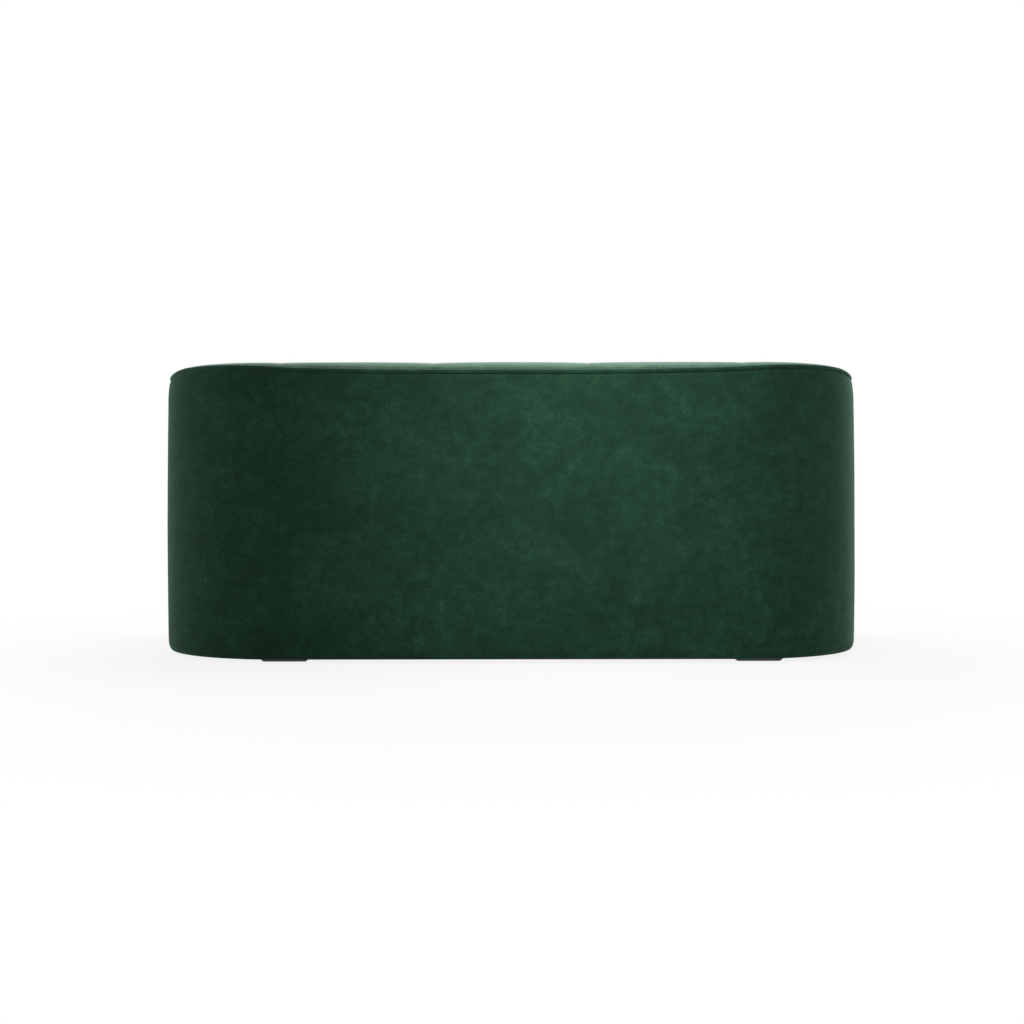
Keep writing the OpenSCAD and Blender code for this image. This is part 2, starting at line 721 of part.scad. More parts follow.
// Rounded arm fronts, turned about the middle of the arm, with a rebate for the piping on the outer edge
module arm_front_section() {
    r = wall_t / 2;
    polygon(concat(
        [[0, frame_z + gap], [0, overall_h]],
        [for (a = [15:15:90]) [r * sin(a), shoulder_z + (overall_h - shoulder_z) * cos(a)]],
        [for (p = roll_outer)
            let(swell = side_swell * cos((roll_z - p[1]) * 90 / roll_r))
            [r - p[0] + swell, p[1]]],
        [[r - underlap_d, floor_gap], [r - underlap_d, base_z]],
        [for (p = reversed(roll_inner)) [r - p[0], p[1]]],
        [[r - cover_t, frame_z + gap]]
    ));
}
module arm_front() {
    y = arm_y - piping_d / 2 - piping_gap;
    color(velvet) difference() {
        translate([arm_x, arm_y - gap, 0]) rotate([0, 0, 180])
            rotate_extrude(angle = 180) arm_front_section();
        translate([half_w - step_d, y, 0]) cube([2 * step_d, overall_d, seam(half_l) + piping_d]);
        translate([half_w - roll_r - gap, y, 0]) cube([2 * roll_r, overall_d, frame_z]);
    }
}
module left_arm_front() { arm_front(); }
module right_arm_front() { mirror([1, 0, 0]) arm_front(); }

// Padded border across the front, from arm to arm
module front_border() {
    x = side_in - gap;
    top_z = cloth_z + deck_cloth_t;
    top_r = border_t / 2;
    color(velvet) translate([-x, 0, 0]) rotate([90, 0, 90]) linear_extrude(2 * x) polygon(concat(
        [[board_y, top_z], [border_y + top_r, top_z]],
        [for (a = [30:30:90]) [border_y + top_r * (1 - sin(a)), top_z - top_r * (1 - cos(a))]],
        [for (a = [0:15:90]) [border_y + roll_r * (1 - cos(a)), roll_z - roll_r * sin(a)]],
        [[base_front_y + underlap_w, floor_gap], [base_front_y + underlap_w, base_z]],
        [[base_front_y, base_z], [base_front_y, plinth_z], [board_y, plinth_z]]
    ));
}
module dust_cover() {
    inset = underlap_d + gap;
    front = base_front_y + underlap_w + gap;
    right = [for (a = [0:9:90])
        [half_back + (corner_r - inset) * sin(a), corner_y + (corner_r - inset) * cos(a)]];
    left = [for (p = reversed(right)) [-p[0], p[1]]];
    x = half_w - inset;
    color("#202020") translate([0, 0, base_z - dust_t]) linear_extrude(dust_t) difference() {
        polygon(concat(right, [[x, front], [-x, front]], left));
        foot_places() foot_plan();
        middle_place() foot_plan();
    }
}

// Feet: low blocks with a chamfered lower edge, each held by two screws from below
foot_y = back_y - foot_setback - foot_d / 2;
front_foot_y = base_front_y + underlap_w + foot_d / 2 + 2 * gap;
module rear_places() {
    translate([foot_left_x, foot_y]) children();
    translate([-foot_right_x, foot_y]) children();
}
module front_places() {
    translate([foot_left_x, front_foot_y]) children();
    translate([-foot_right_x, front_foot_y]) children();
}
module foot_places() {
    rear_places() children();
    front_places() children();
}
module middle_place() {
    translate([0, post_y]) children();
}
module screw_places() {
    for (x = [-screw_x, screw_x]) translate([x, 0]) children();
}
// The room that a foot needs in what is turned under the base
module foot_plan() {
    square([foot_w + 2 * gap, foot_d + 2 * gap], center = true);
}
module foot_room(h) {
    linear_extrude(h) foot_plan();
}
module foot() {
    module side_view(w) {
        polygon([
            [foot_chamfer - w / 2, 0], [w / 2 - foot_chamfer, 0], [w / 2, foot_chamfer],
            [w / 2, base_z], [-w / 2, base_z], [-w / 2, foot_chamfer]
        ]);
    }
    color("#2b2b2a") difference() {
        intersection() {
            translate([0, foot_d / 2, 0]) rotate([90, 0, 0]) linear_extrude(foot_d) side_view(foot_w);
            translate([-foot_w / 2, 0, 0]) rotate([90, 0, 90]) linear_extrude(foot_w) side_view(foot_d);
        }
        screw_places() {
            translate([0, 0, -over])
                cylinder(r = screw_head_r + head_gap, h = screw_sink + over, $fn = 32);
            cylinder(r = screw_r + shank_gap, h = base_z + over, $fn = 24);
        }
    }
}
module rear_feet() { rear_places() foot(); }
module front_feet() { front_places() foot(); }
module middle_foot() { middle_place() foot(); }
module foot_screw() {
    head_h = screw_r;
    color("silver") {
        translate([0, 0, screw_sink - head_h]) cylinder(r = screw_head_r, h = head_h, $fn = 32);
        translate([0, 0, screw_sink - head_h / 2])
            cylinder(r = screw_r, h = screw_l - head_h / 2, $fn = 24);
    }
}
module foot_screws() {
    foot_places() screw_places() foot_screw();
    middle_place() screw_places() foot_screw();
}

// Seat cushions. The plan of one, and layers that swell and draw in, closed by a crown.
front_y = border_y - gap;
function arc(x, y, r, a0, a1, n) =
    [for (i = [0:n]) let(a = a0 + (a1 - a0) * i / n) [x + r * cos(a), y + r * sin(a)]];
function along(a, b, n) = [for (i = [1:n - 1]) a + (b - a) * i / n];
function cushion_plan() =
    let(
        c = 2 * gap,
        r = cushion_r,
        x0 = cushion_gap / 2,
        x1 = side_in - c,
        y1 = seat_back_y - c,
        front_end = [x1 - r, front_y],
        side_start = [x1, front_y + r],
        turn = [for (a = [90:-9:0]) seat_corner(a, c)]
    )
    concat(
        arc(x0 + r, front_y + r, r, 180, 270, 3),
        along([x0 + r, front_y], front_end, 10),
        arc(x1 - r, front_y + r, r, 270, 360, 3),
        along(side_start, turn[0], 6),
        turn,
        along([half_back, y1], [x0 + r, y1], 8),
        arc(x0 + r, y1 - r, r, 90, 180, 3),
        along([x0, y1 - r], [x0, front_y + r], 8)
    );
// How much a point of the plan draws in: the front and the side next to the other cushion are free
function free_share(p) =
    let(
        u = min(max((p[0] - cushion_gap / 2) / side_in, 0), 1),
        v = min(max((p[1] - front_y) / (seat_back_y - front_y), 0), 1),
        at_front = p[1] < front_y + cushion_r ? sin(180 * u) : 0,
        at_middle = p[0] < cushion_gap / 2 + cushion_r ? sin(180 * v) : 0
    )
    max(at_front, at_middle);
// Layers from the bottom up, as [inset from the plan, height, share of the draw-in]
layer_top = cushion_t - cushion_crown;
cushion_layers = [
    [cushion_r, 0, 0], [cushion_r / 3, cushion_r / 5, 0.4], [0, cushion_r / 2, 0.8],
    [0, layer_top / 2, 1], [0, layer_top - cushion_r / 2, 0.8],
    [cushion_r / 3, layer_top - cushion_r / 5, 0.4], [cushion_r, layer_top + cushion_crown / 8, 0]
];
crown_shares = [0.88, 0.72, 0.5, 0.25];
module cushion() {
    plan = cushion_plan();
    n = len(plan);
    middle = [(cushion_gap / 2 + side_in) / 2, (front_y + seat_back_y) / 2];
    function drawn(p, inset) = p + (middle - p) * inset / norm(middle - p);
    last_layer = cushion_layers[len(cushion_layers) - 1];
    edge_z = last_layer[1];
    walls = [for (l = cushion_layers) for (p = plan)
        let(q = drawn(p, l[0] + draw_in * l[2] * free_share(p)))
        [q[0], q[1], cushion_z + l[1]]];
    crown = [for (s = crown_shares) for (p = plan)
        let(q = middle + (drawn(p, last_layer[0]) - middle) * s)
        [q[0], q[1], cushion_z + edge_z + (cushion_t - edge_z) * (1 - pow(s, 2.5))]];
    rows = len(cushion_layers) + len(crown_shares);
    ends = rows * n;
    poles = [for (z = [0, cushion_t]) [middle[0], middle[1], cushion_z + z]];
    points = concat(walls, crown, poles);
    sides = [for (i = [0:rows - 2]) for (j = [0:n - 1])
        let(a = i * n + j, b = i * n + (j + 1) % n)
        each [[a, b + n, b], [a, a + n, b + n]]];
    floor_faces = [for (j = [0:n - 1]) [ends, j, (j + 1) % n]];
    top_row = ends - n;
    top_faces = [for (j = [0:n - 1]) [ends + 1, top_row + (j + 1) % n, top_row + j]];
    color(velvet) polyhedron(points, concat(sides, floor_faces, top_faces), convexity = 4);
}
module left_seat_cushion() { cushion(); }
module right_seat_cushion() { mirror([1, 0, 0]) cushion(); }

base_plate();
plinth();
top_plate();
back_studs();
corner_studs();
arm_studs();
arm_front_posts();
back_board();
corner_boards();
arm_boards();
arm_front_boards();
inner_corner_boards();
inner_arm_boards();
front_seat_rail();
side_seat_rails();
corner_seat_rails();
back_seat_rail();
seat_beam();
seat_beam_post();
middle_plank();
front_posts();
front_board();
glue_blocks();
seat_straps();
seat_cross_straps();
back_straps_upright();
back_straps_level();
deck_foam();
deck_cloth();
base_edge_roll();
outside_cover();
piping_cord();
back_pad();
left_corner_pad();
right_corner_pad();
left_arm_pad();
right_arm_pad();
left_arm_front();
right_arm_front();
front_border();
dust_cover();
rear_feet();
front_feet();
middle_foot();
foot_screws();
left_seat_cushion();
right_seat_cushion();
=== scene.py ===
import math

import bmesh
import bpy
from mathutils import Matrix, Vector, noise
from mathutils.bvhtree import BVHTree


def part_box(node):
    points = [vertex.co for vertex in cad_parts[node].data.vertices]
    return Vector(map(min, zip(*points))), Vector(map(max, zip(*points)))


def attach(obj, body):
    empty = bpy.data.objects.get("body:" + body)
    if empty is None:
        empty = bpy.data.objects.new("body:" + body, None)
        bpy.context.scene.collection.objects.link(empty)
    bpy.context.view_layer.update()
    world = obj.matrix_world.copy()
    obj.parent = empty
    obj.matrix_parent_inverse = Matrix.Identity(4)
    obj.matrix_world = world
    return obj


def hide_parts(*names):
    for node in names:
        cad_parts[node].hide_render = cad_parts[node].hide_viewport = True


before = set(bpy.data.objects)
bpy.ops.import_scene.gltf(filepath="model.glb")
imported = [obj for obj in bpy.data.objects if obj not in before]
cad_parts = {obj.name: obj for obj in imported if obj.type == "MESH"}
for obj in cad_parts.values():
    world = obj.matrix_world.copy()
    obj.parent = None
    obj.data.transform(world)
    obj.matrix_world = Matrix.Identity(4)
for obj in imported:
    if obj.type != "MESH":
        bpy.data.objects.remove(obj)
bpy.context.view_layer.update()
scene = bpy.context.scene

# Sizes, in metres. A place in the wall is given by t, the way round the outside from the middle of the
# back, by d, the distance inwards from the outer face, and by z, the height.
cover_low, cover_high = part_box("outside_cover")
half_w, back_y, floor_gap = cover_high.x, cover_high.y, cover_low.z
crown_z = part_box("back_pad")[1].z
deck_low, deck_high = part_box("deck_cloth")
cushion_low, cushion_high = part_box("left_seat_cushion")
gap = 0.0003
# the wall, and the seam under its piping, which rises over the shoulders
wall_t = 0.150
corner_r = 0.347
seam_z = crown_z - 0.036
shoulder_lift = 0.016
# the piping, how far in its middle lies, its turn down at the arm's end, and how far the velvet there
# draws back for it
piping_r = 0.006
piping_d = 0.013
turn_r = 0.014
snug = 0.005
# the outside face: it turns under at the hem, swells at half height, and leans in under the piping
hem_z = floor_gap - 0.0018
hem_r = 0.013
hem_h = 0.028
hem_top = hem_z + hem_h
under_d = 0.030
swell_z = 0.300
side_swell = 0.0025
lean_z = seam_z - 0.035
lean_d = 0.0065
# the inside face: its shoulder under the crown, the frame behind it, and its channels
shoulder_z = crown_z - 0.065
frame_z = seam_z - 0.019
frame_back_d = 0.0726
channels = 3
channel_depth = 0.020
crown_dip = 0.0034
back_rake = 0.055

half_back = half_w - corner_r
corner_y = back_y - corner_r
arm_y = wall_t / 2 + gap - back_y
arm_x = half_w - wall_t / 2
arm_l = corner_y - arm_y
corner_l = corner_r * math.pi / 2
half_l = half_back + corner_l + arm_l
side_in = half_w - wall_t
seat_back_y = back_y - wall_t - back_rake
border_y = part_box("front_border")[0].y
deck_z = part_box("deck_foam")[0].z

# How the seam rises: shares of the half back or of the corner's length, and of the whole rise
BACK_SEAM = [(0, 0), (0.52, 0.04), (0.73, 0.19), (0.9, 0.31), (1, 0.47)]
CORNER_SEAM = [(0.18, 0.80), (0.30, 0.93), (0.45, 1), (0.57, 0.92), (0.68, 0.67), (0.78, 0.38), (0.90, 0.19), (1, 0.17)]
SEAM = [(s * half_back, h * shoulder_lift) for s, h in BACK_SEAM]
SEAM += [(half_back + s * corner_l, h * shoulder_lift) for s, h in CORNER_SEAM]
piping_top = seam_z + SEAM[-1][1] + piping_r
turn_z = piping_top - turn_r

# The straight and round lengths of the wall, from the front of the right arm: start, end, the middle of a round
# one, and the direction of a straight one
WALL = [
    (-half_l, -half_back - corner_l, None, Vector((0, 1, 0))),
    (-half_back - corner_l, -half_back, Vector((-half_back, corner_y, 0)), None),
    (-half_back, half_back, None, Vector((1, 0, 0))),
    (half_back, half_back + corner_l, Vector((half_back, corner_y, 0)), None),
    (half_back + corner_l, half_l, None, Vector((0, -1, 0))),
]


def between(x, low, high):
    return max(low, min(high, x))


def smooth(x):
    x = between(x, 0, 1)
    return x * x * (3 - 2 * x)


def quarter_turn(steps, first=1):
    """The angles of a quarter turn in steps."""
    return [math.pi / 2 * i / steps for i in range(first, steps + 1)]


def within(a, b, middle, most):
    """The pair, brought up to the most from the middle if it lies further off."""
    da, db = a - middle[0], b - middle[1]
    r = math.hypot(da, db)
    return (a, b) if r <= most else (middle[0] + da * most / r, middle[1] + db * most / r)


def wall_point(t, d, z):
    """The point in space of a place in the wall."""
    a = between((abs(t) - half_back) / corner_r, 0, math.pi / 2)
    x = min(abs(t), half_back) + (corner_r - d) * math.sin(a)
    y = corner_y + (corner_r - d) * math.cos(a) - max(abs(t) - half_back - corner_l, 0)
    return Vector((math.copysign(x, t), y, z))


def wall_place(p):
    """The t and d of a point in space."""
    x = abs(p.x)
    if p.y <= corner_y:
        t, d = half_back + corner_l + corner_y - p.y, half_w - x
    elif x <= half_back:
        t, d = x, back_y - p.y
    else:
        t = half_back + corner_r * math.atan2(x - half_back, p.y - corner_y)
        d = corner_r - math.hypot(x - half_back, p.y - corner_y)
    return math.copysign(t, p.x), d


def rise(t):
    """How far the seam under the piping lies above its lowest place."""
    t = abs(t)
    if t >= SEAM[-1][0]:
        return SEAM[-1][1]
    i = next(i for i in range(1, len(SEAM)) if t <= SEAM[i][0])
    (t0, h0), (t1, h1) = SEAM[i - 1], SEAM[i]
    (ta, ha), (tb, hb) = SEAM[max(i - 2, 0)], SEAM[min(i + 1, len(SEAM) - 1)]
    u, span = (t - t0) / (t1 - t0), t1 - t0
    m0, m1 = span * (h1 - ha) / (t1 - ta), span * (hb - h0) / (tb - t0)
    return (h0 * (1 + 2 * u) * (1 - u) ** 2 + m0 * u * (1 - u) ** 2
            + h1 * u * u * (3 - 2 * u) + m1 * u * u * (u - 1))


def channel(t):
    """1 along the middle of a channel, 0 in the sewn valley between two."""
    width = 2 * half_back / channels
    if abs(t) <= half_back:
        u = ((t + half_back) % width) / width
    elif abs(t) <= half_back + corner_l:
        u = (abs(t) - half_back) / corner_l
    else:
        u = min((abs(t) - half_back - corner_l) / arm_l, 0.5)
    return max(math.sin(math.pi * between(u, 0, 1)), 0) ** 0.5


# Helpers for meshes


def add_line(bm, points, closed=True):
    """A line of edges through the points. This and the next three give what was made last, to go on from."""
    verts = [bm.verts.new(p) for p in points]
    pairs = list(zip(verts, verts[1:])) + ([(verts[-1], verts[0])] if closed else [])
    return verts + [bm.edges.new(pair) for pair in pairs]


def run(bm, geom, shift, steps):
    made = bmesh.ops.spin(bm, geom=geom, cent=(0, 0, 0), axis=(0, 0, 1), dvec=shift / steps, angle=0, steps=steps)
    return made["geom_last"]


def turn(bm, geom, middle, axis, angle, steps):
    made = bmesh.ops.spin(bm, geom=geom, cent=middle, axis=axis, dvec=(0, 0, 0), angle=angle, steps=steps)
    return made["geom_last"]


def carry(bm, geom, start, end, step):
    """Carries a section along the wall, from start to end."""
    for low, high, middle, way in WALL:
        a, b = max(start, low), min(end, high)
        if b - a > 1e-6:
            steps = max(1, round((b - a) / step))
            if way:
                geom = run(bm, geom, way * (b - a), steps)
            else:
                geom = turn(bm, geom, middle, (0, 0, 1), (a - b) / corner_r, steps)
    return geom


def cut(bm, at, way, clear_outer=False):
    bmesh.ops.bisect_plane(bm, geom=bm.verts[:] + bm.edges[:] + bm.faces[:], plane_co=at, plane_no=way,
        clear_outer=clear_outer)


def keep_rims_crisp(bm):
    crease = bm.edges.layers.float.new("crease_edge")
    for e in bm.edges:
        if e.is_boundary:
            e[crease] = 1.0


def close_up(bm):
    """Joins what meets, and closes the open ends."""
    bmesh.ops.remove_doubles(bm, verts=bm.verts, dist=1e-5)
    rims = [e for e in bm.edges if e.is_boundary]
    if rims:
        caps = bmesh.ops.holes_fill(bm, edges=rims)["faces"]
        bmesh.ops.triangulate(bm, faces=caps, ngon_method="EAR_CLIP")
    bmesh.ops.recalc_face_normals(bm, faces=bm.faces)


def flat_grid(bm, cells, half_x, front, back, z):
    bmesh.ops.create_grid(bm, x_segments=cells[0], y_segments=cells[1], size=0.5)
    bmesh.ops.scale(bm, vec=(2 * half_x, back - front, 1), verts=bm.verts)
    bmesh.ops.translate(bm, vec=(0, (back + front) / 2, z), verts=bm.verts)


def slab(bm, height, rounding):
    """Makes a slab with rounded rims from flat faces."""
    made = bmesh.ops.extrude_face_region(bm, geom=bm.faces[:])["geom"]
    far = [v for v in made if isinstance(v, bmesh.types.BMVert)]
    bmesh.ops.translate(bm, verts=far, vec=(0, 0, height))
    bmesh.ops.recalc_face_normals(bm, faces=bm.faces)
    rims = [e for e in bm.edges if abs(e.verts[0].co.z - e.verts[1].co.z) < 1e-6]
    bmesh.ops.bevel(bm, geom=rims, affect="EDGES", offset=rounding, segments=3, profile=0.5, material=-1)


def piece(name, bm, materials, body="sofa", sharp=None):
    """The piece made from a mesh, shaded smooth but for edges of at least the sharp angle, in degrees."""
    mesh = bpy.data.meshes.new(name)
    bm.to_mesh(mesh)
    bm.free()
    mesh.shade_smooth()
    if sharp is not None:
        mesh.set_sharp_from_angle(angle=math.radians(sharp))
    obj = bpy.data.objects.new(name, mesh)
    scene.collection.objects.link(obj)
    for material in materials:
        mesh.materials.append(material)
    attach(obj, body)
    return obj


def mirrored(obj, name, body, sharp):
    bm = bmesh.new()
    bm.from_mesh(obj.data)
    bmesh.ops.scale(bm, vec=(-1, 1, 1), verts=bm.verts)
    bmesh.ops.reverse_faces(bm, faces=bm.faces)
    return piece(name, bm, list(obj.data.materials), body, sharp)


def subdivide(obj):
    mod = obj.modifiers.new("finish", "SUBSURF")
    mod.levels = mod.render_levels = 1


def cord(name, points, radius, material, body):
    """A round cord along a closed line."""
    curve = bpy.data.curves.new(name, "CURVE")
    curve.dimensions = "3D"
    spline = curve.splines.new("POLY")
    spline.points.add(len(points) - 1)
    for target, p in zip(spline.points, points):
        target.co = (*p, 1)
    spline.use_cyclic_u = True
    curve.bevel_depth = radius
    curve.bevel_resolution = 4
    made = bpy.data.objects.new(name + "_line", curve)
    scene.collection.objects.link(made)
    bm = bmesh.new()
    bm.from_mesh(made.to_mesh())
    bpy.data.objects.remove(made)
    bmesh.ops.remove_doubles(bm, verts=bm.verts, dist=1e-5)
    bmesh.ops.recalc_face_normals(bm, faces=bm.faces)
    return piece(name, bm, [material], body)


# Materials


class Shade:
    """A material whose detail is made with nodes on Object coordinates."""

    def __init__(self, name, **sockets):
        self.material = bpy.data.materials.new(name)
        self.material.use_nodes = True
        self.nodes, self.links = self.material.node_tree.nodes, self.material.node_tree.links
        self.bsdf = self.nodes["Principled BSDF"]
        for key, value in sockets.items():
            self.bsdf.inputs[key.replace("_", " ")].default_value = value
        self.coords = self.nodes.new("ShaderNodeTexCoord").outputs["Object"]

    def add(self, kind, inputs=None, **settings):
        node = self.nodes.new(kind)
        for key, value in settings.items():
            setattr(node, key, value)
        for key, value in (inputs or {}).items():
            if isinstance(value, bpy.types.NodeSocket):
                self.links.new(value, node.inputs[key])
            else:
                node.inputs[key].default_value = value
        return node

    def noise(self, scale, detail=2.0, stretch=(1, 1, 1), rough=0.5, distortion=0.0):
        place = self.add("ShaderNodeMapping", {"Vector": self.coords, "Scale": stretch})
        made = self.add("ShaderNodeTexNoise", {
            "Vector": place.outputs[0], "Scale": scale, "Detail": detail,
            "Roughness": rough, "Distortion": distortion})
        return made.outputs["Fac"]

    def wave(self, scale, direction, distortion):
        made = self.add("ShaderNodeTexWave", {"Vector": self.coords, "Scale": scale, "Distortion": distortion},
            bands_direction=direction)
        return made.outputs["Fac"]

    def cells(self, scale):
        return self.add("ShaderNodeTexVoronoi", {"Vector": self.coords, "Scale": scale}).outputs["Distance"]

    def math(self, operation, a, b):
        return self.add("ShaderNodeMath", {0: a, 1: b}, operation=operation).outputs[0]

    def blend(self, parts):
        """The sum of outputs times weights, as [(output, weight)]."""
        total = None
        for output, weight in parts:
            part = self.math("MULTIPLY", output, weight)
            total = part if total is None else self.math("ADD", total, part)
        return total

    def colour(self, value, stops):
        """The base colour from a value, by stops of (value, colour)."""
        ramp = self.add("ShaderNodeValToRGB", {"Fac": value})
        elements = ramp.color_ramp.elements
        while len(elements) < len(stops):
            elements.new(0.5)
        for element, (at, rgb) in zip(elements, stops):
            element.position = at
            element.color = (*rgb, 1)
        self.links.new(ramp.outputs["Color"], self.bsdf.inputs["Base Color"])

    def relief(self, height, strength, distance):
        bump = self.add("ShaderNodeBump", {"Height": height, "Strength": strength, "Distance": distance})
        self.links.new(bump.outputs[0], self.bsdf.inputs["Normal"])


def velvet_material(name, sheen, tint, painted_crown_highlight=0.0):
    s = Shade(name, Roughness=0.9, Sheen_Weight=sheen, Sheen_Roughness=0.38, Sheen_Tint=tint)
    s.bsdf.inputs["Specular IOR Level"].default_value = 0.15
    clouds = s.noise(2.6, 2, distortion=0.4)
    patches = s.noise(9, 3, rough=0.6, distortion=0.8)
    mottle = s.noise(34, 5, rough=0.8, distortion=0.5)
    brushed = s.noise(16, 5, (1, 1, 4), 0.68, 0.3)
    grain = s.noise(300, 3, rough=0.7)
    pile = s.noise(1500, 2)
    parts = [(clouds, 0.16), (patches, 0.26), (mottle, 0.46), (brushed, 0.14), (grain, 0.38), (pile, 0.10)]
    # the sum is brought back to a mean of one half
    tone = s.math("SUBTRACT", s.blend(parts), 0.5 * (sum(weight for _, weight in parts) - 1))
    # painted highlight: the colour is painted lighter towards the crown, for the light from above and the sheen that
    # fall there
    height = s.add("ShaderNodeSeparateXYZ", {"Vector": s.coords}).outputs["Z"]
    below = 0.006
    crown_highlight_share = s.add("ShaderNodeMapRange", {
        "Value": height, "From Min": seam_z - below, "From Max": crown_z - below, "To Max": painted_crown_highlight},
        interpolation_type="SMOOTHSTEP")
    s.colour(s.math("ADD", tone, crown_highlight_share.outputs[0]), [
        (0.40, (0.0036, 0.0200, 0.0098)),
        (0.50, (0.0061, 0.0300, 0.0149)),
        (0.60, (0.0100, 0.0440, 0.0230)),
        # the pale colour that the painted crown highlight reaches
        (0.90, (0.0700, 0.1270, 0.0900)),
    ])
    s.relief(s.blend([(grain, 0.6), (pile, 0.3), (brushed, 0.5)]), 0.22, 0.0012)
    return s.material


def lining_material():
    s = Shade("platform_lining", Roughness=0.9, Sheen_Weight=0.2, Sheen_Roughness=0.5)
    weave = s.math("MAXIMUM", s.wave(260, "X", 0.6), s.wave(260, "Y", 0.6))
    tone = s.blend([(weave, 0.35), (s.noise(12, 3), 0.4), (s.noise(300, 2), 0.25)])
    s.colour(tone, [(0.3, (0.010, 0.022, 0.015)), (0.75, (0.024, 0.045, 0.032))])
    s.relief(weave, 0.4, 0.0004)
    return s.material


def stitch_shade_material():
    # near-black and without sheen: the stitching's colour is painted shade down in the sewn valley
    s = Shade("stitch_and_shade", Roughness=0.9)
    s.colour(s.noise(400, 2), [(0.35, (0.004, 0.010, 0.007)), (0.65, (0.008, 0.018, 0.013))])
    return s.material


def underside_material():
    s = Shade("underside_cloth", Roughness=0.92)
    fibres = s.noise(420, 3, (1, 0.25, 1), 0.7, 1.5)
    spots = s.cells(420)
    tone = s.blend([(fibres, 0.6), (spots, 0.25), (s.noise(9, 2), 0.15)])
    s.colour(tone, [(0.3, (0.006, 0.006, 0.006)), (0.7, (0.022, 0.022, 0.021))])
    s.relief(s.blend([(fibres, 0.5), (spots, 0.5)]), 0.35, 0.0005)
    return s.material


def timber_material():
    s = Shade("rail_timber", Roughness=0.62)
    rings = s.noise(5, 4, (0.6, 7, 7), 0.6, 1.2)
    grain = s.noise(60, 4, (0.35, 6, 6), 0.65, 0.4)
    knots = s.noise(3.2, 1)
    tone = s.blend([(rings, 0.5), (grain, 0.35), (knots, 0.15)])
    s.colour(tone, [(0.32, (0.36, 0.20, 0.095)), (0.5, (0.55, 0.36, 0.19)), (0.68, (0.69, 0.50, 0.30))])
    s.relief(grain, 0.25, 0.0006)
    return s.material


def plywood_material():
    s = Shade("plywood", Roughness=0.6)
    face = s.blend([(s.noise(7, 4, (0.7, 5, 1), 0.6, 1.0), 0.6), (s.noise(90, 3, (0.4, 5, 1)), 0.4)])
    tone = s.blend([(face, 0.75), (s.wave(95, "Z", 0.15), 0.25)])
    s.colour(tone, [(0.3, (0.30, 0.17, 0.08)), (0.5, (0.50, 0.33, 0.17)), (0.72, (0.66, 0.48, 0.28))])
    s.relief(face, 0.2, 0.0005)
    return s.material


def webbing_material():
    s = Shade("elastic_webbing", Roughness=0.85)
    along, across, up = (s.wave(170, direction, 0.3) for direction in "XYZ")
    weave = s.math("MAXIMUM", s.math("MULTIPLY", along, across), s.math("MULTIPLY", up, along))
    tone = s.blend([(weave, 0.7), (s.noise(200, 2), 0.3)])
    s.colour(tone, [(0.2, (0.012, 0.011, 0.010)), (0.6, (0.065, 0.058, 0.050)), (0.8, (0.16, 0.13, 0.10))])
    s.relief(weave, 0.5, 0.0005)
    return s.material


def foam_material():
    s = Shade("foam", Roughness=0.95, Subsurface_Weight=0.1)
    pores = s.cells(520)
    tone = s.blend([(pores, 0.5), (s.noise(20, 3), 0.5)])
    s.colour(tone, [(0.25, (0.55, 0.47, 0.28)), (0.6, (0.78, 0.70, 0.48))])
    s.relief(pores, 0.6, 0.0006)
    return s.material


def foot_material():
    s = Shade("foot_plastic", Roughness=0.55)
    grain = s.noise(700, 2)
    scuffs = s.noise(40, 3, (1, 1, 3), 0.7, 1.0)
    tone = s.blend([(grain, 0.4), (scuffs, 0.6)])
    s.colour(tone, [(0.35, (0.013, 0.013, 0.0125)), (0.65, (0.027, 0.027, 0.026))])
    s.relief(grain, 0.25, 0.0003)
    return s.material


def steel_material():
    s = Shade("zinc_plated_steel", Metallic=1.0, Roughness=0.35)
    tone = s.blend([(s.noise(300, 3), 0.6), (s.noise(40, 2), 0.4)])
    s.colour(tone, [(0.3, (0.42, 0.42, 0.41)), (0.7, (0.66, 0.66, 0.64))])
    s.relief(s.noise(900, 1), 0.1, 0.0002)
    return s.material


velvet = velvet_material("green_velvet", 0.32, (0.43, 0.80, 0.59, 1))
piping_velvet = velvet_material("green_velvet_piping", 0.55, (0.50, 0.80, 0.64, 1))
# the pads get a painted highlight along their crown
pad_velvet = velvet_material("green_velvet_pads", 0.55, (0.60, 0.80, 0.70, 1), painted_crown_highlight=0.38)
lining = lining_material()
stitch_and_shade = stitch_shade_material()
underside = underside_material()
timber = timber_material()
plywood = plywood_material()
webbing = webbing_material()
foam = foam_material()
foot_plastic = foot_material()
steel = steel_material()

# The pieces that are shown as the solids they are
CARRIED_OVER = [
    (plywood, [
        "base_plate", "plinth", "top_plate", "back_board", "corner_boards", "arm_boards", "arm_front_boards",
        "inner_corner_boards", "inner_arm_boards", "middle_plank", "front_board"]),
    (timber, [
        "back_studs", "corner_studs", "arm_studs", "arm_front_posts", "front_seat_rail", "side_seat_rails",
        "corner_seat_rails", "back_seat_rail", "seat_beam", "seat_beam_post", "front_posts", "glue_blocks"]),
    (webbing, ["seat_straps", "seat_cross_straps", "back_straps_upright", "back_straps_level"]),
    (foot_plastic, ["rear_feet", "front_feet", "middle_foot"]),
    (steel, ["foot_screws"]),
]
for material, names in CARRIED_OVER:
    for name in names:
        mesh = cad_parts[name].data
        mesh.materials.clear()
        mesh.materials.append(material)


def ripple(p, scale, seed):
    """Smooth noise from -1 to 1 at a point, the same in each run."""
    return noise.noise(Vector((p[0] * scale + seed, p[1] * scale, p[2] * scale + 3 * seed)))


# Outside cover: the section, then its way round the wall


def outer_d(z):
    if z <= swell_z:
        return side_swell * ((swell_z - z) / (swell_z - hem_top)) ** 2
    return side_swell * ((z - swell_z) / (lean_z - swell_z)) ** 2


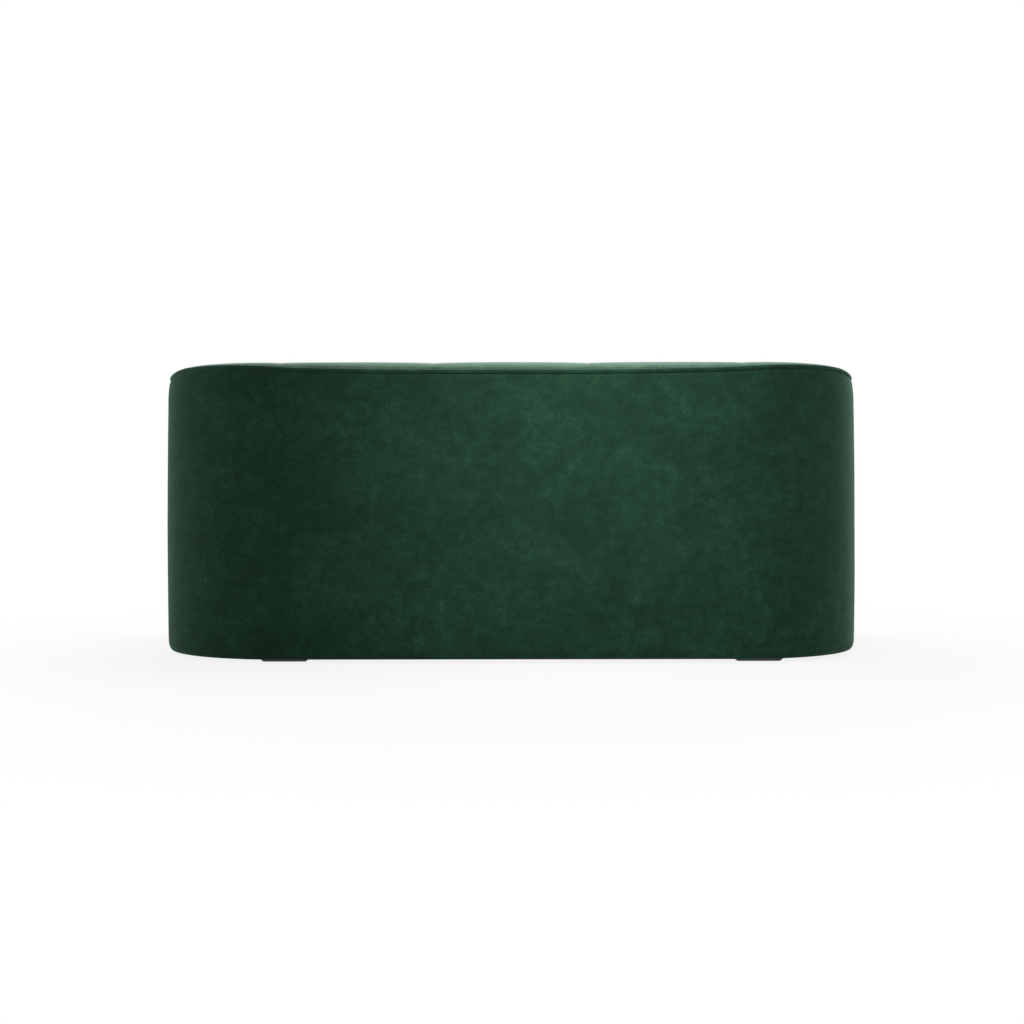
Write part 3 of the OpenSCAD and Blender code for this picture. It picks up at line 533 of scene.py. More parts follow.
def outside_cover():
    cover_top = seam_z - 0.0005
    face_rows, lean_rows, hem_rows = 30, 4, 6
    # its outer side, from the top edge, which is tucked under the piping, to the end of the turn under the base
    outer = [(0.0118, seam_z - 0.0008), (0.0104, seam_z - 0.0006), (0.0088, seam_z - 0.0012),
             (0.0075, seam_z - 0.0028), (lean_d + 0.0002, seam_z - 0.0054)]
    outer += [(lean_d + (side_swell - lean_d) * i / lean_rows, cover_top + (lean_z - cover_top) * i / lean_rows)
              for i in range(1, lean_rows)]
    outer += [(outer_d(z), z) for z in (lean_z + (hem_top - lean_z) * i / face_rows for i in range(face_rows + 1))]
    outer += [(hem_r - (hem_r - side_swell) * math.cos(a), hem_top - hem_h * math.sin(a))
              for a in quarter_turn(hem_rows)]
    outer += [(0.022, hem_z + 0.0004), (0.033, floor_gap), (0.0395, floor_gap), (0.040, floor_gap + 0.0004)]
    # the wadding's inner side, back up
    inner = [(0.040, 0.0150), (0.0395, 0.0155), (under_d, 0.0155), (0.0180, 0.0175), (0.0110, 0.027),
             (0.0082, 0.040), (0.0078, swell_z), (0.0078, frame_z), (0.0105, seam_z - 0.004), (0.0112, seam_z - 0.002)]
    bm = bmesh.new()
    end = half_l - snug
    first = add_line(bm, [wall_point(-end, d, z) for d, z in outer + inner])
    carry(bm, first, -end, end, 0.014)
    keep_rims_crisp(bm)
    close_up(bm)
    # closer columns near its ends
    for beside in (0.002, 0.004, 0.007, 0.0105):
        cut(bm, (0, arm_y + snug + beside, 0), (0, 1, 0))
    corner = (arm_y + turn_r, turn_z)
    for v in bm.verts:
        t, d = wall_place(v.co)
        near_seam = between((v.co.z - lean_z) / (cover_top - lean_z), 0, 1)
        face = smooth((0.0075 - d) / 0.002)
        p = v.co.copy()
        v.co.z += rise(t) * near_seam
        # soft places in the wadding, and small gathers under the piping and over the foot roll
        swell = 0.0007 * ripple(p, 5, 1.0) + 0.0003 * ripple(p, 17, 2.0)
        low = smooth((0.10 - p.z) / 0.08)
        gathers = 0.00035 * math.sin(t * 150 + 3 * ripple(p, 3, 4.0)) * ripple(p, 6, 5.0)
        out = (swell + gathers * (near_seam + low)) * face
        v.co += (wall_point(t, d - out, p.z) - wall_point(t, d, p.z))
        # the top corner at the arm front is rounded
        if v.co.y < corner[0] and v.co.z > corner[1]:
            v.co.y, v.co.z = within(v.co.y, v.co.z, corner, turn_r - snug)
    obj = piece("velvet_outside_cover", bm, [velvet])
    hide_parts("outside_cover")
    subdivide(obj)


# Piping: one covered cord, up the edge of one arm front, round the wall above the seam, and down the other


def piping():
    bm = bmesh.new()
    side_d = piping_r - gap
    bend_r = 0.008
    bend_z = hem_z + piping_r + bend_r
    start = Vector((-half_w + piping_d, arm_y, bend_z))
    sides, upright_steps, turn_steps, bend_steps = 16, 60, 10, 8
    ring = [start + Vector((math.cos(a), math.sin(a), 0)) * piping_r
            for a in (2 * math.pi * i / sides for i in range(sides))]
    first = add_line(bm, ring)
    up = run(bm, first, Vector((0, 0, turn_z - bend_z)), upright_steps)
    turn_middle = (0, arm_y + turn_r, turn_z)
    over = turn(bm, up, turn_middle, (1, 0, 0), -math.pi / 2, turn_steps)
    end = half_l - turn_r
    along = carry(bm, over, -end, end, 0.010)
    down = turn(bm, along, turn_middle, (1, 0, 0), math.pi / 2, turn_steps)
    run(bm, down, Vector((0, 0, bend_z + turn_r - piping_top)), upright_steps)
    # where it runs down, it comes outwards to the edge of the arm front, and then under the base
    for v in bm.verts:
        p = v.co.copy()
        t, d = wall_place(p)
        side = math.copysign(1, p.x)
        v.co.z += rise(t) - SEAM[-1][1]
        v.co.x += side * (piping_d - side_d) * smooth((piping_top - p.z) / turn_r) * (abs(t) > end - 0.02)
        drop = between((hem_top - max(p.z, bend_z)) / hem_h, 0, 1)
        v.co.x -= side * hem_r * (1 - math.sqrt(1 - drop * drop))
        v.co += Vector((ripple(p, 40, 6.0), ripple(p, 40, 7.0), ripple(p, 40, 8.0))) * 0.0004
    for side in (-1, 1):
        rim = [e for e in bm.edges if e.is_boundary and e.verts[0].co.x * side > 0]
        x = sum(e.verts[0].co.x for e in rim) / sides
        x -= side * bend_r
        geom = list({v for e in rim for v in e.verts}) + rim
        turn(bm, geom, (x, arm_y, bend_z), (0, 1, 0), side * math.radians(80), bend_steps)
    close_up(bm)
    obj = piece("velvet_piping", bm, [piping_velvet])
    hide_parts("piping_cord")
    subdivide(obj)


# Inside pads: a section with full channels, carried along the wall, then pulled in at the sewn valleys

crest_d = wall_t / 2
pad_tuck = 0.009
pad_overlap = 0.0006
# the pads are made slimmer by this, and puff up again
slim = 0.010
# a sewn valley: a groove, with a narrow line of stitching in it, and the columns of the mesh beside its middle
groove_w, groove_depth = 0.0045, 0.0055
stitch_w, stitch_depth = 0.0006, 0.0085
# the half width of the stitching faces that carry the painted shade, and of the sewn part that is held
stitch_shade_half_w, sewn_half_w = 0.0011, 0.0075
valley_columns = (-0.0070, -0.0032, -stitch_shade_half_w, stitch_shade_half_w, 0.0032, 0.0070)
# the share of its movement that each point of a piece keeps after the simulation
slack = {}


def pad_section():
    """The (d, z) of its velvet from the seam over the crown to the deck, and of its rear side, back up."""
    edge = lean_d + 0.004 + gap
    step = piping_d + piping_r + gap
    low = seam_z + pad_tuck
    rows, face_rows, rear_rows = 10, 34, 6
    skin = [(edge, frame_z + gap), (edge, seam_z - gap), (step, seam_z + gap), (step + gap, low)]
    skin += [(crest_d - (crest_d - step) * math.cos(a), low + (crown_z - low) * math.sin(a))
             for a in quarter_turn(rows)]
    skin += [(crest_d + (wall_t - crest_d) * math.sin(a), shoulder_z + (crown_z - shoulder_z) * math.cos(a))
             for a in quarter_turn(rows)]
    skin += [(wall_t, shoulder_z + (deck_z + 0.001 - shoulder_z) * i / face_rows) for i in range(1, face_rows + 1)]
    skin += [(wall_t - 0.001, deck_z)]
    rear = [(frame_back_d + 0.001, deck_z)]
    rear += [(frame_back_d, deck_z + (frame_z - deck_z) * i / rear_rows) for i in range(rear_rows + 1)]
    rear += [(frame_back_d + (step - frame_back_d) * i / 4, frame_z + gap) for i in range(1, 4)]
    return skin, rear


def shaped(p, puff, valleys):
    """A point of the plain sweep, moved to its channel, its raked back and the rise of its seam."""
    t, d = wall_place(p)
    full = channel(t)
    to_face = between((d - crest_d) / (wall_t - crest_d), 0, 1)
    low = between((shoulder_z - p.z) / (shoulder_z - cushion_low.z), 0, 1)
    a = between((abs(t) - half_back) / corner_r, 0, math.pi / 2)
    z, lift = p.z, rise(t)
    if d < crest_d and z > seam_z + pad_tuck:
        share = (z - seam_z - pad_tuck) / (crown_z - seam_z - pad_tuck)
        z = z + lift * (1 - share) - crown_dip * (1 - full) * share
    elif z > frame_z + 0.001 and d < crest_d:
        z += lift * between((z - frame_z) / (seam_z - frame_z), 0, 1)
    elif z > shoulder_z:
        share = (z - shoulder_z) / (crown_z - shoulder_z)
        z -= (crown_dip * (1 - full) + puff * 0.5 * to_face) * share
    stitched = sum(groove_depth * math.exp(-((t - v) / groove_w) ** 2)
                   + stitch_depth * math.exp(-((t - v) / stitch_w) ** 2) for v in valleys)
    # the crown lies a little lower along the back
    if d < crest_d and z > seam_z + pad_tuck:
        z -= 0.0010 * smooth((half_back - abs(t)) / 0.15)
    d += to_face * (back_rake * low * math.cos(a) ** 2 - channel_depth * (1 - full) - puff * full - stitched)
    return wall_point(t, d, z)


def wall_pad(name, node, start, end, valleys):
    skin, rear = pad_section()
    start, end = start - pad_overlap, end + pad_overlap
    bm = bmesh.new()
    first = add_line(bm, [wall_point(start, d, z) for d, z in skin + rear])
    carry(bm, first, start, end, 0.012)
    close_up(bm)
    for v in valleys:
        for beside in valley_columns:
            cut(bm, (v + beside, 0, 0), (1, 0, 0))
    # the stitching down in each valley is real, and its near-black matte colour is painted shade in the seam
    for f in bm.faces:
        p = f.calc_center_median()
        if wall_place(p)[1] > crest_d and any(abs(p.x - v) < stitch_shade_half_w for v in valleys):
            f.material_index = 1
    places = [wall_place(v.co) + (v.co.z,) for v in bm.verts]
    for v in bm.verts:
        v.co = shaped(v.co, slim, valleys)
    obj = piece(name, bm, [pad_velvet, stitch_and_shade] if valleys else [pad_velvet])
    held = []
    for i, (t, d, z) in enumerate(places):
        behind = d < frame_back_d + 0.0005 and z <= frame_z + 0.001
        tucked = d < piping_d + piping_r + 0.001
        ends = min(abs(t - start), abs(t - end)) < 0.002
        sewn = any(abs(t - v) < sewn_half_w for v in valleys) and d > crest_d
        if behind or tucked or ends or sewn or z < deck_z + 0.005:
            held.append(i)
    obj.vertex_groups.new(name="held").add(held, 1.0, "REPLACE")
    # the crown keeps its line, and the face is free to puff up
    slack[name] = [smooth((d - crest_d) / 0.05) for _, d, _ in places]
    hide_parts(node)
    return obj


# An arm front's rim is shaded as an edge, from this angle in degrees
rim_angle = 60


def arm_front():
    bm = bmesh.new()
    r = wall_t / 2
    crown_rows, side_rows, hem_rows = 12, 44, 5
    section = [(r * math.sin(a), shoulder_z + (crown_z - shoulder_z) * math.cos(a))
               for a in quarter_turn(crown_rows, 0)]
    section += [(r, shoulder_z + (hem_top - shoulder_z) * i / side_rows) for i in range(1, side_rows + 1)]
    section += [(r - hem_r + hem_r * math.cos(a), hem_top - hem_h * math.sin(a)) for a in quarter_turn(hem_rows)]
    section += [(0.036, floor_gap), (0.0, floor_gap)]
    y = arm_y - gap
    first = add_line(bm, [(arm_x - radius, y, z) for radius, z in section], closed=False)
    turn(bm, first, (arm_x, y, 0), (0, 0, 1), math.pi, 30)
    keep_rims_crisp(bm)
    close_up(bm)
    # room for the piping along the outer rim
    for v in bm.verts:
        if v.co.x > arm_x and v.co.y > y - 0.008:
            v.co.y = min(v.co.y, y - snug * smooth((piping_top + 0.006 - v.co.z) / 0.010))
    bm.verts.index_update()
    held = [v.index for v in bm.verts if v.co.y > y - 0.010 or v.co.z < hem_top]
    obj = piece("velvet_left_arm_front", bm, [pad_velvet], sharp=rim_angle)
    obj.vertex_groups.new(name="held").add(held, 1.0, "REPLACE")
    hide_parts("left_arm_front")
    return obj


# Seat cushions


cushion_inset = 0.005
cushion_gap = 0.0006
top_seam_z = cushion_low.z + 0.121
low_seam_z = cushion_low.z + 0.012
welt_r, welt_step = 0.0035, 0.012


def seat_corner_r(angle, inset):
    return corner_r - wall_t - back_rake * math.cos(angle) ** 2 - inset


def seat_corner(angle, inset):
    """A place in plan on the seat's rear corner."""
    r = seat_corner_r(angle, inset)
    return half_back + r * math.sin(angle), corner_y + r * math.cos(angle)


def cushion_outline(inset, r=0.022):
    """The plan of the left cushion, as a loop of points, with rounded corners."""
    x0, x1 = cushion_low.x + inset, side_in - cushion_gap - inset
    y0, y1 = cushion_low.y + inset, seat_back_y - cushion_gap - inset
    loop = []
    for cx, cy, a0 in ((x0 + r, y0 + r, 180), (x1 - r, y0 + r, 270)):
        loop += [(cx + r * math.cos(math.radians(a0 + 15 * i)), cy + r * math.sin(math.radians(a0 + 15 * i)))
                 for i in range(7)]
    loop += [seat_corner(math.radians(a), inset + cushion_gap) for a in range(90, -1, -6)]
    loop += [(x0 + r + r * math.cos(math.radians(90 + 15 * i)), y1 - r + r * math.sin(math.radians(90 + 15 * i)))
             for i in range(7)]
    # the front, and the side at the sofa's middle, bow in a little
    drawn, bow = [], 0.005
    for x, y in loop:
        u, v = between(x / side_in, 0, 1), between((y - y0) / (y1 - y0), 0, 1)
        if y < y0 + r:
            y += bow * math.sin(math.pi * u)
        if x < x0 + r:
            x += bow * math.sin(math.pi * v)
        drawn.append((x, y))
    return drawn


def resampled(loop, step):
    """The same closed loop with points about a step apart."""
    points = []
    for (x0, y0), (x1, y1) in zip(loop, loop[1:] + loop[:1]):
        n = max(1, round(math.hypot(x1 - x0, y1 - y0) / step))
        points += [(x0 + (x1 - x0) * i / n, y0 + (y1 - y0) * i / n) for i in range(n)]
    return points


def cushion():
    loop = cushion_outline(cushion_inset)
    bm = bmesh.new()
    add_line(bm, [(x, y, cushion_low.z + 0.002) for x, y in loop])
    bmesh.ops.contextual_create(bm, geom=bm.edges[:])
    slab(bm, top_seam_z - cushion_low.z, 0.010)
    obj = piece("velvet_left_seat_cushion", bm, [velvet], "left_cushion")
    remesh = obj.modifiers.new("remesh", "REMESH")
    remesh.mode, remesh.voxel_size = "VOXEL", 0.007
    bm = bmesh.new()
    bm.from_object(obj, bpy.context.evaluated_depsgraph_get())
    obj.modifiers.remove(remesh)
    # a low crown to start with
    cx, cy = side_in / 2, (cushion_low.y + seat_back_y) / 2
    for v in bm.verts:
        if v.co.z > top_seam_z - 0.004:
            u, w = (v.co.x - cx) / (side_in / 2), (v.co.y - cy) / ((seat_back_y - cushion_low.y) / 2)
            v.co.z += 0.012 * max(1 - abs(u) ** 2.5, 0) * max(1 - abs(w) ** 2.5, 0)
    bm.to_mesh(obj.data)
    bm.free()
    obj.data.shade_smooth()
    # the seams are held, and so is the underside, which the deck keeps flat
    held = [v.index for v in obj.data.vertices
            if min(abs(v.co.z - top_seam_z + 0.001), abs(v.co.z - low_seam_z)) < 0.004 and near_outline(v.co, loop)
            or v.co.z < low_seam_z]
    obj.vertex_groups.new(name="held").add(held, 1.0, "REPLACE")
    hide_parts("left_seat_cushion")
    return obj


def near_outline(p, loop, reach=0.012):
    for (x0, y0), (x1, y1) in zip(loop, loop[1:] + loop[:1]):
        dx, dy = x1 - x0, y1 - y0
        length = dx * dx + dy * dy
        if length < 1e-12:
            continue
        u = between(((p.x - x0) * dx + (p.y - y0) * dy) / length, 0, 1)
        if math.hypot(p.x - x0 - u * dx, p.y - y0 - u * dy) < reach:
            return True
    return False


def fit_cushion(obj):
    """After the simulation: the seat's height again, flat on the deck, and clear of the wall and the other cushion."""
    clear = 2 * cushion_gap
    verts = obj.data.vertices
    top = max(v.co.z for v in verts)
    for v in verts:
        if v.co.z > top_seam_z:
            v.co.z = top_seam_z + (v.co.z - top_seam_z) * (cushion_high.z - top_seam_z) / (top - top_seam_z)
        v.co.z = max(v.co.z, cushion_low.z + 0.0004)
        v.co.x = between(v.co.x, cushion_low.x + gap, side_in - clear)
        v.co.y = min(v.co.y, seat_back_y - clear)
        if v.co.y > corner_y and v.co.x > half_back:
            angle = math.atan2(v.co.x - half_back, v.co.y - corner_y)
            v.co.x, v.co.y = within(v.co.x, v.co.y, (half_back, corner_y), seat_corner_r(angle, clear))


def against(skin, p, off=0.0025):
    """The point, brought up to the cloth if it stands further off."""
    at, _, _, distance = skin.find_nearest(p)
    return p if distance <= off else at + (p - at) * (off / distance)


# Front border


def front_border():
    x, rows, columns = side_in - gap, 18, 120
    top_z, top_r = deck_high.z, 0.010
    back = border_y + 0.020
    section = [(back, top_z - 0.0015), (back - 0.0015, top_z), (border_y + 0.5 * (back - border_y), top_z)]
    section += [(border_y + top_r * (1 - math.sin(a)), top_z - top_r * (1 - math.cos(a)))
                for a in quarter_turn(4)]
    section += [(border_y, top_z - top_r + (hem_top - top_z + top_r) * i / rows) for i in range(1, rows)]
    section += [(border_y + hem_r * (1 - math.cos(a)), hem_top - hem_h * math.sin(a))
                for a in quarter_turn(5, 0)]
    # under the base, and back up its inner side
    section += [(border_y + 0.033, floor_gap), (border_y + 0.0425, floor_gap), (border_y + 0.043, 0.0125),
                (border_y + 0.043, 0.0154), (border_y + 0.0425, 0.0158), (border_y + under_d, 0.0158),
                (border_y + under_d, 0.034), (back, 0.034), (back, 0.036), (back, 0.16), (back, top_z - 0.006)]
    bm = bmesh.new()
    first = add_line(bm, [(-x, y, z) for y, z in section])
    run(bm, first, Vector((2 * x, 0, 0)), columns)
    close_up(bm)
    for v in bm.verts:
        front = smooth((border_y + 0.008 - v.co.y) / 0.006)
        edge = smooth((x - abs(v.co.x)) / 0.05)
        puff = 0.0016 * ripple(v.co, 4, 11.0) + 0.0006 * ripple(v.co, 13, 12.0) - 0.003 * (1 - edge) ** 2
        v.co.y -= puff * front
    obj = piece("velvet_front_border", bm, [velvet])
    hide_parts("front_border")
    subdivide(obj)


# Seat deck: the foam slab, and the cloth stretched over it


def deck_plan(bm, inset, z, cells):
    """A flat grid cut to the plan of the seat."""
    flat_grid(bm, cells, side_in - inset, border_y + 0.0205 + inset, seat_back_y - inset, z)
    for side in (-1, 1):
        points = [Vector((side * x, y, z)) for x, y in
                  (seat_corner(math.radians(a), inset) for a in range(0, 91, 9))]
        for a, b in zip(points, points[1:]):
            cut(bm, a, Vector((0, 0, side)).cross(b - a), clear_outer=True)


def deck_foam():
    bm = bmesh.new()
    deck_plan(bm, 0.004, deck_low.z - 0.0015, (2, 2))
    bmesh.ops.dissolve_limit(bm, angle_limit=0.01, verts=bm.verts, edges=bm.edges)
    slab(bm, deck_z + 0.001 - deck_low.z, 0.004)
    obj = piece("seat_deck_foam", bm, [foam], sharp=50)
    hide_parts("deck_foam")


def deck_cloth():
    bm = bmesh.new()
    deck_plan(bm, 0.001, deck_low.z, (90, 34))
    # a facing of velvet along the front, sewn to the lining
    facing_y = border_y + 0.12
    for v in bm.verts:
        seam = math.exp(-((v.co.y - facing_y) / 0.004) ** 2)
        v.co.z += 0.0004 + 0.0007 * ripple(v.co, 6, 21.0) * smooth((side_in - abs(v.co.x)) / 0.05) - 0.0008 * seam
    for f in bm.faces:
        f.material_index = 0 if f.calc_center_median().y < facing_y else 1
    bmesh.ops.recalc_face_normals(bm, faces=bm.faces)
    obj = piece("seat_deck_cloth", bm, [velvet, lining])
    solid = obj.modifiers.new("thickness", "SOLIDIFY")
    solid.thickness, solid.offset = 0.0009, -1
    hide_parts("deck_cloth")


# Foam roll round the foot of the wall, inside the cover


def base_roll():
    bm = bmesh.new()
    outer_d = 0.0092
    arc = [(under_d - (under_d - outer_d) * math.cos(a), 0.042 - 0.0240 * math.sin(a))
           for a in (math.radians(i) for i in range(0, 76, 15))]
    section = [(outer_d, 0.046), (0.012, 0.046), (0.012, 0.034), (under_d, 0.034), (under_d, 0.0172)]
    section += list(reversed(arc))
    first = add_line(bm, [wall_point(-half_l, d, z) for d, z in section])
    last = carry(bm, first, -half_l, half_l, 0.04)
    for geom, side in ((first, -1), (last, 1)):
        turn(bm, [g for g in geom if g.is_valid], (side * arm_x, arm_y, 0), (0, 0, 1), -side * math.pi, 12)
    close_up(bm)
    obj = piece("base_foam_roll", bm, [foam], sharp=50)
    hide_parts("base_edge_roll")


# Dust cover: black cloth, stapled to the base over the turned-under velvet


def dust_cover():
    inset, z = 0.034, 0.0112
    bm = bmesh.new()
    front, back = arm_y + 0.0005, back_y - inset
    flat_grid(bm, (74, 30), half_w - inset, front, back, z)
    for v in bm.verts:
        v.co.z += 0.0004 * ripple(v.co, 9, 31.0)
    # its rear corners, cut in chords of the wall's curve
    chord = 9
    for side in (-1, 1):
        for i in range(90 // chord):
            a = math.radians(chord * i + chord / 2)
            out = Vector((side * math.sin(a), math.cos(a), 0))
            reach = (corner_r - inset) * math.cos(math.radians(chord / 2))
            cut(bm, Vector((side * half_back, corner_y, z)) + out * reach, out, clear_outer=True)
    # the step at the front and the openings for the feet
    margin = 0.001
    holes = [(-side_in - margin, side_in + margin, front - 0.01, border_y + 0.036)]
    for node in ("rear_feet", "front_feet", "middle_foot"):
        low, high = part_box(node)
        if node == "middle_foot":
            spans = [(low.x, high.x)]
        else:
            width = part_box("middle_foot")[1].x * 2
            spans = [(low.x, low.x + width), (high.x - width, high.x)]
        holes += [(x0 - margin, x1 + margin, low.y - margin, high.y + margin) for x0, x1 in spans]
    for x0, x1, y0, y1 in holes:
        for x in (x0, x1):
            cut(bm, (x, 0, 0), (1, 0, 0))
        for y in (y0, y1):
            cut(bm, (0, y, 0), (0, 1, 0))
    inside = [f for f in bm.faces
              if any(x0 < f.calc_center_median().x < x1 and y0 < f.calc_center_median().y < y1
                     for x0, x1, y0, y1 in holes)]
    bmesh.ops.delete(bm, geom=inside, context="FACES")
    bmesh.ops.remove_doubles(bm, verts=bm.verts, dist=0.0008)
    bmesh.ops.recalc_face_normals(bm, faces=bm.faces)
    if bm.faces[0].normal.z > 0:
        bmesh.ops.reverse_faces(bm, faces=bm.faces)
    obj = piece("underside_dust_cover", bm, [underside])
    solid = obj.modifiers.new("thickness", "SOLIDIFY")
    solid.thickness, solid.offset = 0.0005, 0
    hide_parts("dust_cover")


# Staples that hold the dust cover


def staples():
    bm = bmesh.new()
    inset, spacing = 0.038, 0.06
    front, side_x = border_y + 0.041, half_w - inset
    # (x, y, angle in degrees)
    places = [(x, front, 0) for x in (-0.72 + spacing * i for i in range(25))]
    places += [(x, back_y - inset, 0) for x in (-0.54 + spacing * i for i in range(19))]
    for side in (-1, 1):
        places += [(side * side_x, y, 90) for y in (-0.31 + spacing * i for i in range(7))]
        places += [(side * (side_in + x), arm_y + 0.006, 0) for x in (0.020, 0.080)]
        places += [(side * (half_back + (corner_r - inset) * math.sin(a)), corner_y + (corner_r - inset) * math.cos(a),
                    -side * math.degrees(a)) for a in (math.radians(10 + 14 * i) for i in range(6))]
    for i, (x, y, angle) in enumerate(places):
        at = Matrix.Translation((x, y, 0.0106)) @ Matrix.Rotation(math.radians(angle + 9 * math.sin(7.0 * i)), 4, "Z")
        bmesh.ops.create_cube(bm, size=1, matrix=at @ Matrix.Diagonal((0.011, 0.0012, 0.0006, 1)))
    obj = piece("dust_cover_staples", bm, [steel], sharp=30)


# Cloth simulation of the padded pieces


def simulate(jobs, frames=20):
    """The pieces puff up inside their sewn edges. A job is (piece, pressure, growth of its cloth, and the most that
    a point moves)."""
    starts = []
    for obj, pressure, growth, _ in jobs:
        cloth = obj.modifiers.new("cloth", "CLOTH")
        s = cloth.settings
        s.vertex_group_mass = "held"
        s.quality = 6
        s.mass = 0.35
        s.tension_stiffness = s.compression_stiffness = 18
        s.shear_stiffness = 6
        s.bending_stiffness = 0.8
        s.air_damping = 4
        s.use_pressure = True
        s.uniform_pressure_force = pressure
        s.effector_weights.gravity = 0
        s.shrink_min = -growth
        cloth.point_cache.frame_start, cloth.point_cache.frame_end = 1, frames
        starts.append([v.co.copy() for v in obj.data.vertices])
    for f in range(1, frames + 1):
        scene.frame_set(f)
    graph = bpy.context.evaluated_depsgraph_get()
    results = [[v.co.copy() for v in job[0].evaluated_get(graph).data.vertices] for job in jobs]
    for (obj, _, _, most), start, made in zip(jobs, starts, results):
        obj.modifiers.remove(obj.modifiers["cloth"])
        loose = slack.get(obj.name, [1] * len(start))
        for v, a, b, share in zip(obj.data.vertices, start, made, loose):
            moved = b - a
            v.co = a + moved * (share * most * math.tanh(moved.length / most) / max(moved.length, 1e-9))
        obj.data.update()
    scene.frame_set(1)


# The left-hand pieces are made and simulated, and the right-hand ones are their mirror images

outside_cover()
piping()
back_pad = wall_pad("velvet_back_pad", "back_pad", -half_back, half_back,
    [half_back * (2 * i / channels - 1) for i in range(1, channels)])
left_corner = wall_pad("velvet_left_corner_pad", "left_corner_pad", half_back, half_back + corner_l, [])
left_arm = wall_pad("velvet_left_arm_pad", "left_arm_pad", half_back + corner_l, half_l, [])
left_front = arm_front()
left_cushion = cushion()
simulate([
    (back_pad, 4.0, 0.012, 0.020), (left_corner, 4.0, 0.012, 0.020), (left_arm, 4.0, 0.012, 0.020),
    (left_front, 2.0, 0.0, 0.003), (left_cushion, 4.0, 0.010, 0.034),
])
fit_cushion(left_cushion)
made_soft = (back_pad, left_corner, left_arm, left_front, left_cushion)
for obj in made_soft:
    obj.vertex_groups.clear()
for obj, node, body, sharp in (
    (left_corner, "right_corner_pad", "sofa", None), (left_arm, "right_arm_pad", "sofa", None),
    (left_front, "right_arm_front", "sofa", rim_angle), (left_cushion, "right_seat_cushion", "right_cushion", None),
):
    other = mirrored(obj, "velvet_" + node, body, sharp)
    # the two cushions aren't quite alike
    for v in other.data.vertices:
        v.co.z += 0.0012 * ripple(v.co, 5, 41.0) * smooth((v.co.z - 0.30) / 0.1) * (body != "sofa")
    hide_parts(node)
    subdivide(other)
for obj in made_soft:
    subdivide(obj)

# Welts, laid against the simulated cushions
graph = bpy.context.evaluated_depsgraph_get()
for side, body in ((1, "left_cushion"), (-1, "right_cushion")):
    skin = BVHTree.FromObject(bpy.data.objects["velvet_" + body.replace("_", "_seat_")], graph)
    for label, z in (("upper", top_seam_z), ("lower", low_seam_z)):
        loop = resampled(cushion_outline(cushion_inset - 0.001), welt_step)
        points = [against(skin, Vector((side * x, y, z))) for x, y in loop]
        line = cord(f"{body}_{label}_welt", points, welt_r, velvet, body)

front_border()
deck_foam()
deck_cloth()
base_roll()
dust_cover()
staples()


# Floor, light and camera


def add_floor():
    bm = bmesh.new()
    bmesh.ops.create_grid(bm, x_segments=1, y_segments=1, size=30)
    mesh = bpy.data.meshes.new("floor")
    bm.to_mesh(mesh)
    bm.free()
    floor = bpy.data.objects.new("floor", mesh)
    scene.collection.objects.link(floor)
    s = Shade("pale_floor", Roughness=0.9)
    s.bsdf.inputs["Base Color"].default_value = (0.86, 0.86, 0.86, 1)
    s.bsdf.inputs["Specular IOR Level"].default_value = 0.1
    path = s.add("ShaderNodeLightPath")
    seen = s.math("MAXIMUM", path.outputs["Is Camera Ray"],
        s.math("MAXIMUM", path.outputs["Is Glossy Ray"], path.outputs["Is Transmission Ray"]))
    white = s.add("ShaderNodeEmission", {"Color": (1, 1, 1, 1), "Strength": 1.0})
    # the floor keeps the sofa's shadow near it, and is pure white further away
    away = s.add("ShaderNodeVectorMath", {0: s.coords}, operation="LENGTH").outputs["Value"]
    level = s.add("ShaderNodeMapRange", {
        "Value": away, "From Min": 0.9, "From Max": 2.1, "To Min": 0.86, "To Max": 1.0},
        interpolation_type="SMOOTHSTEP").outputs["Result"]
    mix = s.add("ShaderNodeMixShader", {
        0: s.math("MULTIPLY", seen, level), 1: s.bsdf.outputs[0], 2: white.outputs[0]})
    s.links.new(mix.outputs[0], s.nodes["Material Output"].inputs["Surface"])
    mesh.materials.append(s.material)


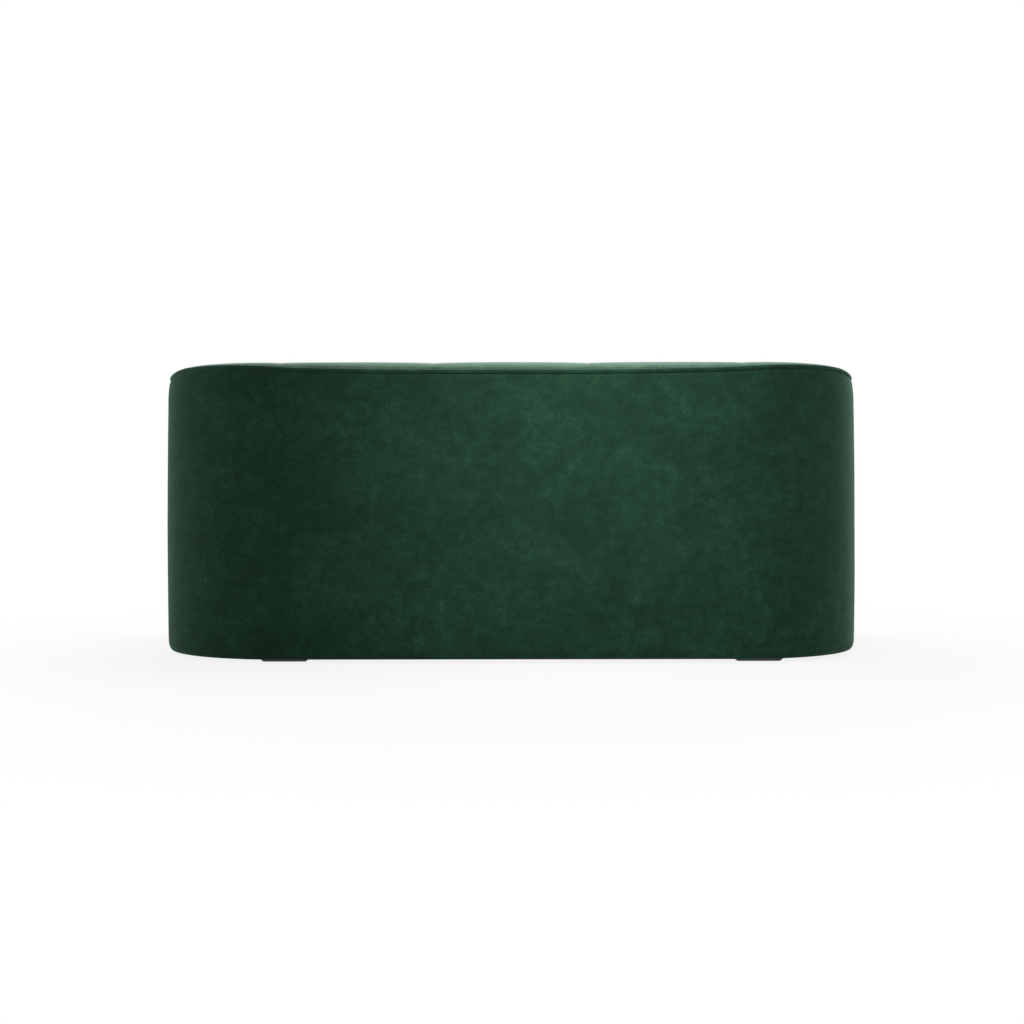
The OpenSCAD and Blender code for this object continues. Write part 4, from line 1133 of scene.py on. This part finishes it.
def add_world():
    world = bpy.data.worlds.new("studio")
    world.use_nodes = True
    scene.world = world
    nodes, links = world.node_tree.nodes, world.node_tree.links
    path = nodes.new("ShaderNodeLightPath")
    seen = path.outputs["Is Camera Ray"]
    for ray in ("Is Glossy Ray", "Is Transmission Ray"):
        either = nodes.new("ShaderNodeMath")
        either.operation = "MAXIMUM"
        links.new(seen, either.inputs[0])
        links.new(path.outputs[ray], either.inputs[1])
        seen = either.outputs[0]
    # seen straight or in a reflection it is white, and it lights the sofa with less
    level = nodes.new("ShaderNodeMapRange")
    level.inputs["To Min"].default_value = 0.275
    level.inputs["To Max"].default_value = 1.0
    links.new(seen, level.inputs["Value"])
    background = nodes["Background"]
    background.inputs["Color"].default_value = (1, 1, 1, 1)
    links.new(level.outputs[0], background.inputs["Strength"])


def add_lamp(name, place, target, size, power, spread=180):
    lamp = bpy.data.lights.new(name, "AREA")
    lamp.shape, lamp.size, lamp.size_y = "RECTANGLE", size[0], size[1]
    lamp.energy = power
    lamp.spread = math.radians(spread)
    obj = bpy.data.objects.new(name, lamp)
    obj.visible_camera = False
    obj.location = place
    obj.rotation_euler = (Vector(target) - Vector(place)).to_track_quat("-Z", "Y").to_euler()
    scene.collection.objects.link(obj)


def add_camera():
    data = bpy.data.cameras.new("camera")
    data.lens, data.sensor_width = 48.64, 36
    data.shift_y = -0.0113
    camera = bpy.data.objects.new("camera", data)
    camera.location = (-0.0024, 3.83, 0.405)
    camera.rotation_euler = (math.radians(90), math.radians(0.085), math.radians(180))
    scene.collection.objects.link(camera)
    scene.camera = camera


add_floor()
add_world()
add_lamp("rear_soft", (-0.2, 2.2, 1.75), (-0.2, 0.42, 0.60), (0.4, 0.4), 3.4, 45)
add_lamp("rear_low", (-0.22, 0.80, 1.0), (-0.22, 0.42, 0.55), (0.6, 0.2), 1.05)
add_lamp("overhead", (-0.2, -0.4, 2.4), (0, 0.3, 0.7), (2.6, 1.2), 52)
add_lamp("left_side", (2.6, 1.2, 1.2), (0, 0.4, 0.4), (1.2, 1.6), 13)
add_lamp("right_side", (-2.6, 1.2, 1.2), (0, 0.4, 0.4), (1.2, 1.6), 4)
add_lamp("front_fill", (0.8, -3.2, 2.0), (0, -0.2, 0.4), (2.4, 1.6), 45)
add_camera()
scene.view_settings.view_transform = "Standard"
